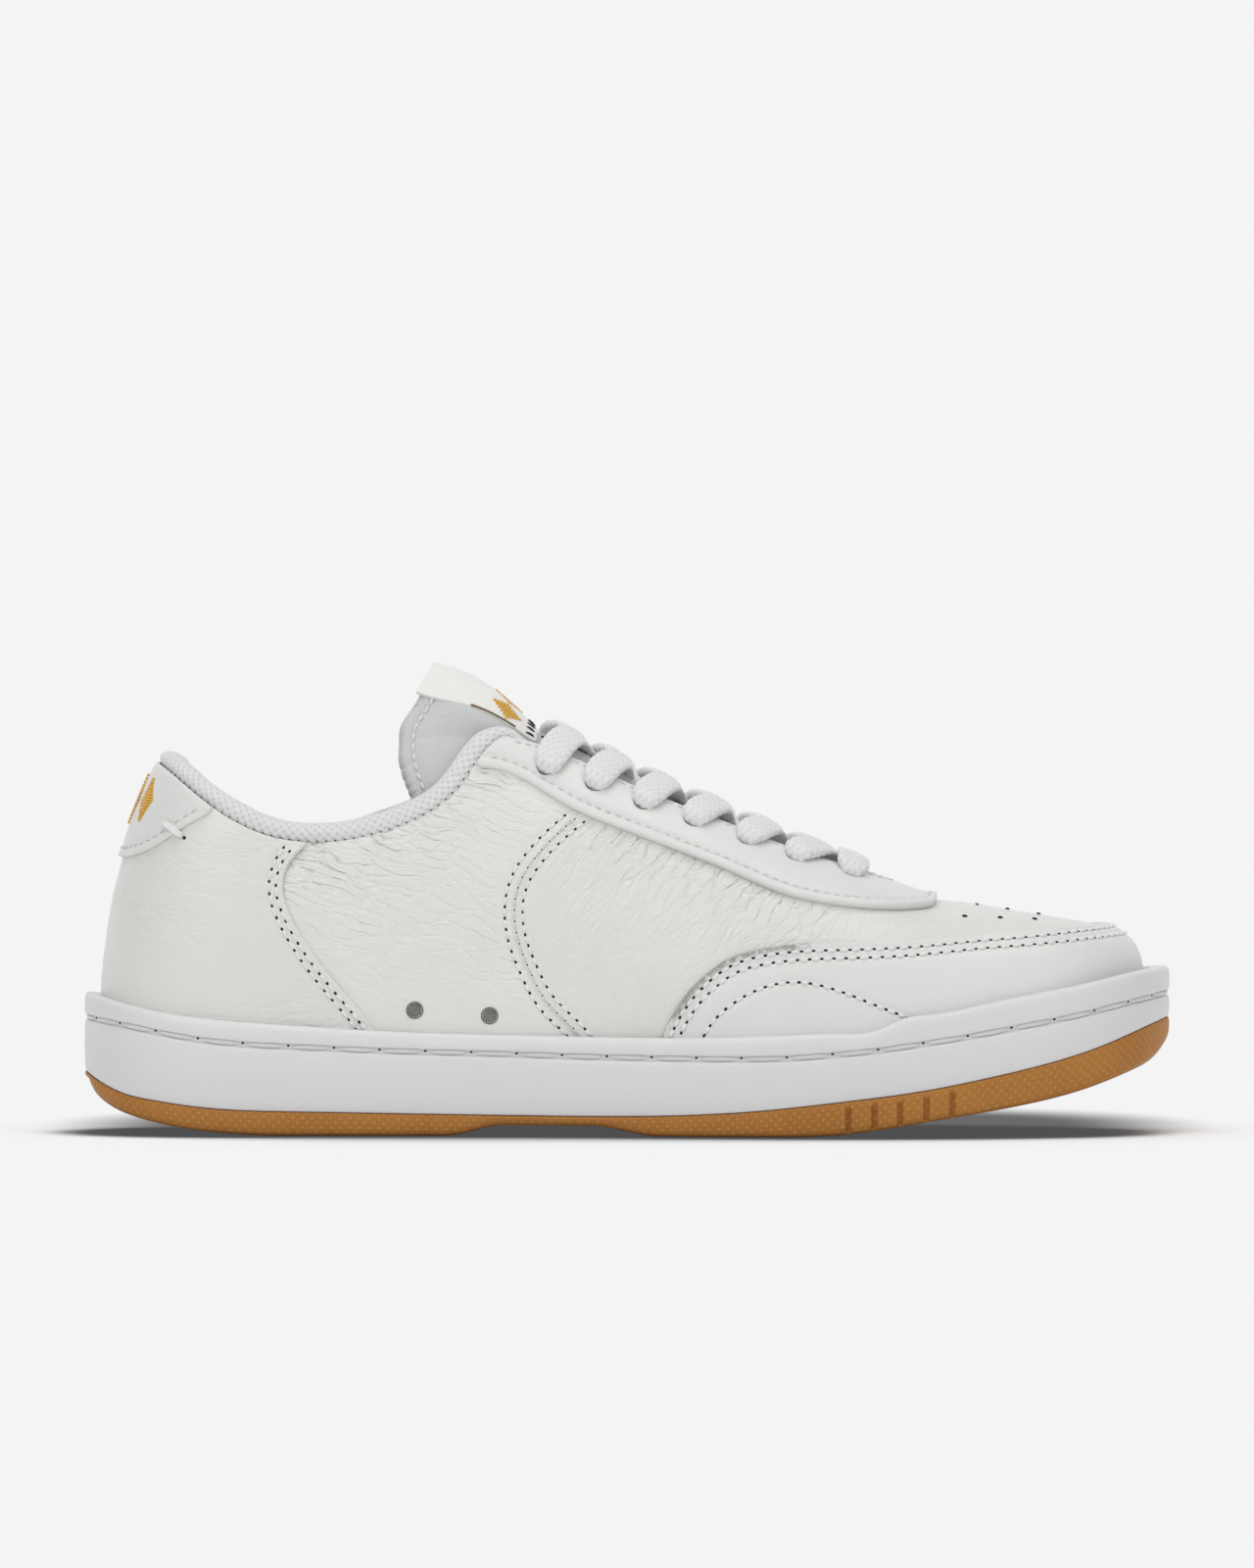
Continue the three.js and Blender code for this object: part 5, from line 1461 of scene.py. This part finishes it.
def vent(name, x, z):
    """A metal ring round a near-black disc, painted shade of the hollow behind it, with woven gauze over it.
    """
    place, normal = from_side(x, z, -1)
    level = height_at(mid_height, place) + 0.15
    section = [(2.35, -1.6), (2.35, level - 0.1), (2.25, level + 0.1), (2.1, level + 0.12),
               (2.0, level - 0.2), (1.95, -1.6)]
    piece(name + "_ring", *turned(place, normal, section, 40), METAL, slot="eyelet_metal", replaces=[name])
    side_way = unit(np.cross(normal, [0, 0, 1.0]))
    up_way = np.cross(side_way, normal)
    n = 40
    disc = [place + normal * h + (side_way * math.cos(a) + up_way * math.sin(a)) * 2.0
            for h in (level - 1.2, level - 0.75) for a in ring_angles(n)]
    faces = [list(range(n))[::-1], list(range(n, 2 * n))]
    faces += [[i, (i + 1) % n, n + (i + 1) % n, n + i] for i in range(n)]
    # the disc is near-black: painted shade of the hollow behind the gauze
    piece(name + "_ground", disc, faces, VENT_SHADE, slot="eyelet_metal")
    gauze = Bits()
    for k in np.arange(-3, 4) * 0.56:
        reach = math.sqrt(1.95**2 - k**2)
        for one, two, height in ((side_way, up_way, -0.62), (up_way, side_way, -0.5)):
            ends = np.linspace(-reach, reach, 7)[:, None]
            line = place + normal * (level + height) + one * k + two * ends
            stitch(gauze, line, np.tile(normal, (7, 1)), 0.16, sink=0.1, lift=0.05)
    gauze.make(name + "_gauze", GAUZE, slot="eyelet_metal")


def perforations():
    """A row of holes on each side of the toe and two rows beside its crest, drawn as near-black lenses:
    painted shade.
    """
    holes = Bits()
    for side in (-1, 1):
        for x, z in ((91.5, 59.3), (101.2, 58.9), (110.6, 58.5)):
            place, normal = from_side(x, z, side)
            hole(holes, place + normal * 0.25, normal, unit(np.cross(normal, [0, 1, 0.2])), 0.8, 0.8)
    for x in (95.1, 103.5, 112.0):
        for dy in (-4.5, 4.5):
            place, normal = from_above(x, float(CREST_Y(x)) + dy)
            hole(holes, place + normal * 0.25, normal, np.array([1.0, 0, 0]), 0.65, 0.65)
    holes.make("vamp_perforations", HOLE_SHADE, slot="white_leather")


def heel_place(a, z, height):
    """A place on the heel tab, a mm round from the heel's back, at height z."""
    angle = a / 24.0
    point, normal = on_skin((-112 - 40 * math.cos(angle), -40 * math.sin(angle), z),
                            (math.cos(angle), math.sin(angle), 0))
    return point + normal * height, normal


def heel_emblem():
    """Three lozenges in satin stitch round the heel tab."""
    emblem = Bits()
    for middle, width, height in ((-12.6, 4.6, 5.6), (0, 5.2, 6.6), (12.6, 4.6, 5.6)):
        for k in np.linspace(-0.96, 0.96, 15):
            reach = width * (1 - abs(k)) + 0.3
            path = [heel_place(middle + reach * t, 90.4 + height * k, 1.3) for t in np.linspace(-1, 1, 7)]
            stitch(emblem, *gather(path), 0.5, sink=0.25, lift=0.2, flat=0.7)
    emblem.make("heel_emblem", GOLD, slot="white_thread")


def bar_tacks():
    """Three close stitches over the tab's edge on each side, with a hole at their foot."""
    tacks, holes = Bits(), Bits()
    for side in (-1, 1):
        p, n = gather([from_side(-125.8 + 4.7 * t, 84.7 - 3.7 * t, side) for t in np.linspace(0, 1, 7)])
        p += n * 1.75
        p[-1] -= n[-1] * 1.2
        for k in (-1, 0, 1):
            stitch(tacks, p + np.array([0.32, 0, 0.36]) * k, n, 0.42, sink=0.3, lift=0.35)
        # the hole at the tacks' foot is a near-black lens: painted shade
        place, normal = from_side(-120.7, 80.6, side)
        level = height_at(heel_height, place)
        hole(holes, place + normal * (level + 0.1), normal, unit(np.array([0.8, 0, -0.6])), 0.7, 0.55)
    tacks.make("heel_tab_bar_tacks", THREAD, slot="white_thread")
    holes.make("heel_tab_tack_holes", HOLE_SHADE, slot="white_thread")


for name, (x, z) in zip(("vent_eyelet_front", "vent_eyelet_rear"), VENTS):
    vent(name, x, z)
perforations()
heel_emblem()
bar_tacks()

# ------------------------------------------------------------------ sole
def sole_columns():
    """Columns round the sole, closer together at the notches' edges."""
    near = SKIN.w[: SKIN.half + 1]
    xs = np.sort(np.concatenate([NOTCH_X + d for d in (-1.1, -0.85, -0.7, -0.5, 0, 0.5, 0.7, 0.85, 1.1)]))
    once = np.interp(xs, FEATHER_X(near), near)
    inner = near[np.abs(near[:, None] - once[None]).min(1) > 0.0016]
    half = np.sort(np.r_[inner, once])
    return np.r_[half[:-1], 2 - half[:0:-1]], len(half) - 1


SOLE_W, SOLE_HALF = sole_columns()
SOLE_OUTWARD = outward(SOLE_W)
SOLE_X, SOLE_Y = FEATHER_X(SOLE_W), FEATHER_Y(SOLE_W)


def sole_ring(offset, height):
    """The feather edge moved out by SOLE_OUT and an offset, at a height that depends on x."""
    move = SOLE_OUT(SOLE_X) + offset
    ring = np.stack([SOLE_X, SOLE_Y, np.zeros_like(SOLE_X)], -1) + SOLE_OUTWARD * np.reshape(move, (-1, 1))
    ring[:, 2] = height(ring[:, 0])
    return ring


def stack(rings):
    """A closed body from rings, its two ends closed by strips across the shoe."""
    n = len(SOLE_W)
    here = np.arange(n)
    ahead = (here + 1) % n
    layers = range(len(rings) - 1)
    quads = np.vstack([np.stack([here, ahead, ahead + n, here + n], 1) + j * n for j in layers]).tolist()
    for base, flip in ((0, True), ((len(rings) - 1) * n, False)):
        for i in range(SOLE_HALF):
            row = [base + i, base + i + 1, base + (n - i - 1) % n, base + (n - i) % n]
            row = list(dict.fromkeys(row))
            if len(row) > 2:
                quads.append(row[::-1] if flip else row)
    return np.vstack(rings), quads


def tread_z(x):
    """The height of the sole's underside: flat at heel and ball, lifted at both ends and the arch."""
    arch = smooth(x, HEEL_FLAT[1], -34) * (1 - smooth(x, -10, BALL_FLAT[0])) * ARCH_RISE
    return np.where(x < HEEL_FLAT[0], HEEL_EDGE_Z(x), np.where(x > BALL_FLAT[1], TOE_EDGE_Z(x), arch))


def cupsole():
    """The white wall with its stitch groove and rolled rim, from its foot on the gum to its floor."""
    foot = lambda x: GUM_Z(x) + 0.05
    middle = lambda x: (GROOVE_Z(x) + GUM_Z(x)) / 2
    floor = lambda x: GUM_Z(x) + 2.4
    corners = [  # offset, line, height above the line
        (-3.0, foot, 0.3), (-0.45, foot, 0.3), (-0.12, foot, 0.45), (0.0, foot, 0.8), (0.15, foot, 2.5),
        (0.3, middle, 0), (0.2, GROOVE_Z, -3.0), (0.1, GROOVE_Z, -1.9), (0.0, GROOVE_Z, -1.2),
        (-0.3, GROOVE_Z, -0.85), (-0.85, GROOVE_Z, -0.7), (-0.95, GROOVE_Z, -0.3), (-0.95, GROOVE_Z, 0.55),
        (-0.8, GROOVE_Z, 0.72), (0.05, GROOVE_Z, 0.85), (0.2, GROOVE_Z, 0.98), (0.26, GROOVE_Z, 1.25),
        (0.25, GROOVE_Z, 2.6), (0.2, RIM_Z, -2.4), (0.1, RIM_Z, -1.5), (-0.12, RIM_Z, -0.85),
        (-0.5, RIM_Z, -0.4), (-1.0, RIM_Z, -0.12), (-1.7, RIM_Z, 0.0), (-4.3, RIM_Z, 0.05),
        (-4.6, RIM_Z, -0.2), (-4.7, RIM_Z, -1.2), (-4.7, floor, 0.5), (-5.5, floor, 0.0),
    ]
    points, faces = stack([sole_ring(offset, lambda x: line(x) + rise) for offset, line, rise in corners])
    piece("cupsole_wall", points, faces, RUBBER, slot="white_rubber", replaces=["cupsole"])


def sidewall_stitching():
    """One thread round the groove, in stitches of about 12 mm."""
    threads, holes = Bits(), Bits()
    line = sole_ring(-0.95, GROOVE_Z)
    line[:, 2] += 0.12
    length = along(line, True)[-1]
    count = int(round(length / 12.4))
    pitch = length / count
    for i in range(count):
        start = 2.0 + i * pitch
        places = start + np.linspace(0.35, pitch - 0.35, 13)
        p, n = resample(line, places % length, SOLE_OUTWARD, closed=True)
        stitch(threads, p, unit(n), 0.72, sink=0.5, lift=0.42, flat=0.75)
        # a needle hole at each stitch's start, a near-black lens of painted shade
        p, n = resample(line, np.array([start, start + 0.3]) % length, SOLE_OUTWARD, closed=True)
        normal = unit(n[0])
        hole(holes, p[0] + normal * 0.12 + np.array([0, 0, 0.2]), normal, unit(p[1] - p[0]), 0.42, 0.34)
    threads.make("sidewall_stitches", SOLE_THREAD, slot="white_thread", replaces=["sidewall_stitching"])
    holes.make("sidewall_needle_holes", HOLE_SHADE, slot="white_thread")


def outsole():
    """The gum sole's side, dotted and notched, from the tread's edge up to the cupsole."""
    low = lambda x: np.minimum(tread_z(x) + 1.6, GUM_Z(x) - 1)
    wall = [sole_ring(offset, lambda x: tread_z(x) + rise)
            for offset, rise in ((-5.0, 0), (-1.6, 0.1), (-0.8, 0.4), (-0.25, 0.9))]
    wall += [sole_ring(0.15 * math.sin(math.pi * t), lambda x: low(x) * (1 - t) + GUM_Z(x) * t)
             for t in (0.0, 0.12, 0.25, 0.4, 0.55, 0.7, 0.85, 0.95)]
    wall += [sole_ring(offset, lambda x: GUM_Z(x) + rise)
             for offset, rise in ((-0.1, 0), (-0.5, 0.2), (-3.0, 0.2))]
    points, faces = stack(wall)
    n, count = len(SOLE_W), len(wall)
    u = np.tile(along(wall[6], True)[:-1], count)
    v = np.concatenate([GUM_Z(r[:, 0]) - r[:, 2] for r in wall])
    notched = smooth(1.0 - np.abs(SOLE_X[:, None] - NOTCH_X[None]).min(1), 0.15, 0.3)
    for j in range(3, count - 3):
        ring = points[j * n : (j + 1) * n]
        inset = notched * (1 - smooth(ring[:, 2] - (GUM_Z(ring[:, 0]) - 2.4), 0, 0.8))
        ring -= SOLE_OUTWARD * (1.4 * inset)[:, None]
    dotted = np.repeat([float(2 < j < count - 2) for j in range(count)], n)
    piece("outsole_gum", points, faces, GUM, slot="gum_rubber", replaces=["outsole"], uv=np.stack([u, v], 1),
          fields={"wall": dotted})


def on_outline(xs):
    """The sole's medial and lateral edges at each x."""
    ring = sole_ring(0, lambda x: x * 0)
    medial, lateral = ring[: SOLE_HALF + 1], np.vstack([ring[SOLE_HALF:], ring[:1]])[::-1]
    return np.interp(xs, medial[:, 0], medial[:, 1]), np.interp(xs, lateral[:, 0], lateral[:, 1])


def tread():
    """Chevron ribs under the sole, with a turning circle of round ribs at the ball."""
    xs = np.arange(-139, 138.1, 0.9)
    medial, lateral = on_outline(xs)
    centre, half = (medial + lateral) / 2, (lateral - medial) / 2 - 3.2
    gx, gt = np.meshgrid(xs, np.linspace(-1, 1, 111), indexing="ij")
    gy = centre[:, None] + half[:, None] * gt
    zig = np.abs(((gy / 11.0) % 1) - 0.5) * 2
    chevrons = smooth(np.cos(2 * math.pi * (gx / 5.2 + zig * 0.95)), -0.35, 0.25)
    from_ball = np.hypot(gx - 36, gy + 6)  # from the turning circle's middle
    circles = smooth(np.cos(2 * math.pi * from_ball / 4.6), -0.35, 0.25)
    rib = np.where(from_ball < 19, circles, chevrons)
    edge = smooth(1 - np.abs(gt), 0, 0.05)
    z = np.maximum(tread_z(gx) + 1.15 * (1 - rib) + 0.9 * (1 - edge), 0.02)
    bottom = np.stack([gx, gy, z], -1).reshape(-1, 3)
    top = bottom.copy()
    top[:, 2] = tread_z(gx).ravel() + 2.2
    rows, size = gx.shape
    count = rows * size
    index = np.arange(count).reshape(rows, size)  # rows run along x
    a, b, c, d = index[:-1, :-1], index[1:, :-1], index[1:, 1:], index[:-1, 1:]
    under = np.stack([a, d, c, b], -1).reshape(-1, 4)
    over = np.stack([a, b, c, d], -1).reshape(-1, 4) + count
    rim = np.concatenate([index[:-1, 0], index[-1, :-1], index[:0:-1, -1], index[0, :0:-1]])
    ahead = np.roll(rim, -1)
    wall = np.stack([rim, ahead, ahead + count, rim + count], -1)
    piece("tread_ribs", np.vstack([bottom, top]), np.vstack([under, over, wall]), GUM, slot="gum_rubber",
          fields={"wall": np.zeros(2 * count)}, uv=np.zeros((2 * count, 2)))


cupsole()
sidewall_stitching()
outsole()
tread()

# ------------------------------------------------------------------ inside
def plate(name, offset, low, high, material, **more):
    """A flat layer inside the shoe, its edge a fixed distance from the feather edge."""
    move = -SOLE_OUT(SOLE_X) + offset
    layers = [sole_ring(move - 0.4, low), sole_ring(move, lambda x: low(x) + 0.3),
              sole_ring(move, lambda x: high(x) - 0.3), sole_ring(move - 0.4, high)]
    points, faces = stack(layers)
    piece(name, points, faces, material, **more)


plate("insole_foam", -5.3, lambda x: BED_Z(x) + 0.2, lambda x: BED_Z(x) + 3.4, FOAM, body="sockliner",
      slot="foam", replaces=["sockliner_foam"])
plate("insole_cloth", -5.5, lambda x: BED_Z(x) + 3.7, lambda x: BED_Z(x) + 4.6, LINING, body="sockliner",
      slot="knit_lining", replaces=["sockliner_cover"])
for node, material in (("midsole_insert", FOAM), ("strobel_board", BOARD), ("lace_tip_medial", TIP),
                       ("lace_tip_lateral", TIP)):
    obj = bpy.data.objects[node]
    obj.data.materials.clear()
    obj.data.materials.append(material)


# ------------------------------------------------------------------ stage
def stage_mesh(name, points, faces, material):
    """An object of the set, which is no part of the shoe."""
    mesh = bpy.data.meshes.new(name)
    mesh.from_pydata(points, [], faces)
    mesh.shade_smooth()
    mesh.materials.append(material)
    obj = bpy.data.objects.new(name, mesh)
    bpy.context.scene.collection.objects.link(obj)


def backdrop():
    """A floor that curves up into a wall, evenly pale, and clear when seen from its back.

    Only the floor near the shoe takes shadow from the lamps; there a contact shade from ambient occlusion is
    painted into the paper's colour. Seen along the floor, a painted shadow in an even grey runs on past the
    shoe's two ends.
    """
    look = Look("paper", (0.98, 0.98, 0.98), 0.95)
    look.shader.inputs["Specular IOR Level"].default_value = 0.0
    # painted contact shade: the paper darkens by its ambient occlusion near the shoe
    shelter = look.node("ShaderNodeAmbientOcclusion", Distance=0.022).outputs["AO"]
    dark = look.math("SUBTRACT", 1.0, look.math("POWER", shelter, 1.2))
    look.tint(dark, (0.09, 0.09, 0.095))
    geometry = look.node("ShaderNodeNewGeometry")
    rise = look.node("ShaderNodeSeparateXYZ", Vector=geometry.outputs["Incoming"]).outputs["Z"]
    grazing = look.span(rise, 0.03, 0.08, 1.0, 0.0)
    # painted shadow: an ellipse round the shoe, shown only where the floor is seen at a grazing angle
    spot = look.node("ShaderNodeSeparateXYZ", Vector=look.place)
    ahead = look.math("DIVIDE", spot.outputs["X"], 0.168)
    ahead = look.math("POWER", look.math("ABSOLUTE", ahead), 4.0)
    back = look.math("DIVIDE", look.math("SUBTRACT", spot.outputs["Y"], 0.06), 0.16)
    reach = look.math("SQRT", look.math("ADD", ahead, look.times(back, back)))
    long_shadow = look.times(look.span(reach, 0.5, 0.97, 1.0, 0.0), grazing)
    away = look.node("ShaderNodeVectorMath", Vector=look.stretched((1.4, 1.5, 1)))
    away.operation = "LENGTH"
    lit = look.math("SUBTRACT", 1.0, long_shadow)
    distant = look.times(look.span(away.outputs["Value"], 0.2, 0.27), lit)
    shade = look.math("MAXIMUM", look.times(look.span(dark, 0.1, 0.5), grazing), long_shadow)
    pale = look.node("ShaderNodeEmission", Color=(0.905, 0.905, 0.912, 1)).outputs[0]
    # an emission in the even grey of the painted shadow
    grey = look.node("ShaderNodeEmission", Color=(0.085, 0.085, 0.087, 1)).outputs[0]
    clear = look.node("ShaderNodeBsdfTransparent").outputs[0]
    paper = look.blend(distant, look.shader.outputs[0], pale)
    paper = look.blend(look.times(shade, 0.95), paper, grey)
    paper = look.blend(geometry.outputs["Backfacing"], paper, clear)
    look.feed(look.tree.nodes["Material Output"].inputs[0], paper)
    profile = [(-3.6, 0.0), (1.2, 0.0)]
    profile += [(1.2 + 1.0 * math.sin(a), 1.0 - math.cos(a)) for a in np.radians(range(10, 91, 10))]
    profile += [(2.2, 3.4)]
    points = [(x, y, z - 0.0003) for y, z in profile for x in (-4, 4)]
    faces = [(2 * i, 2 * i + 1, 2 * i + 3, 2 * i + 2) for i in range(len(profile) - 1)]
    stage_mesh("paper_sweep", points, faces, look.mat)


def light(name, place, target, size, watts):
    """A soft rectangular lamp that points at a target, in metres."""
    data = bpy.data.lights.new(name, "AREA")
    data.shape = "RECTANGLE"
    data.size, data.size_y = size
    data.energy = watts
    obj = bpy.data.objects.new(name, data)
    bpy.context.scene.collection.objects.link(obj)
    obj.location = place
    obj.rotation_euler = (Vector(target) - Vector(place)).to_track_quat("-Z", "Y").to_euler()


def sky():
    """Soft light from all round, stronger from above, and bright where the camera looks into it."""
    world = bpy.data.worlds.new("studio")
    bpy.context.scene.world = world
    world.use_nodes = True
    nodes, links = world.node_tree.nodes, world.node_tree.links
    slope = nodes.new("ShaderNodeSeparateXYZ")
    links.new(nodes.new("ShaderNodeTexCoord").outputs["Generated"], slope.inputs[0])
    ramp = nodes.new("ShaderNodeMapRange")
    for key, value in (("From Min", -0.1), ("From Max", 0.7), ("To Min", 0.1), ("To Max", 0.48)):
        ramp.inputs[key].default_value = value
    links.new(slope.outputs[2], ramp.inputs[0])
    seen = nodes.new("ShaderNodeMath")
    seen.operation = "MULTIPLY_ADD"
    links.new(nodes.new("ShaderNodeLightPath").outputs["Is Camera Ray"], seen.inputs[0])
    seen.inputs[1].default_value = 0.82
    links.new(ramp.outputs[0], seen.inputs[2])
    background = nodes["Background"]
    background.inputs[0].default_value = (0.95, 0.955, 0.97, 1)
    links.new(seen.outputs[0], background.inputs[1])


def camera(distance, height, elevation, target_z):
    """Looks along +Y from a distance, down by the elevation, at a picture of this height in metres."""
    data = bpy.data.cameras.new("camera")
    data.sensor_width = 36
    data.lens = 36 * distance / height
    data.clip_end = 50
    obj = bpy.data.objects.new("camera", data)
    bpy.context.scene.collection.objects.link(obj)
    rise = math.radians(elevation)
    obj.location = (0, -distance * math.cos(rise), target_z + distance * math.sin(rise))
    obj.rotation_euler = (math.pi / 2 - rise, 0, 0)
    bpy.context.scene.camera = obj


backdrop()
light("top_soft", (0.0, -0.35, 1.4), (0, 0, 0), (1.3, 0.8), 6.8)
light("front_left", (-0.8, -1.5, 1.0), (0, 0, 0.05), (0.8, 0.8), 7.2)
light("front_right", (1.0, -1.3, 0.7), (0, 0, 0.05), (0.8, 0.8), 3.4)
sky()
camera(distance=5.0, height=0.4288, elevation=1.0, target_z=0.0949)
bpy.context.scene.view_settings.view_transform = "Standard"
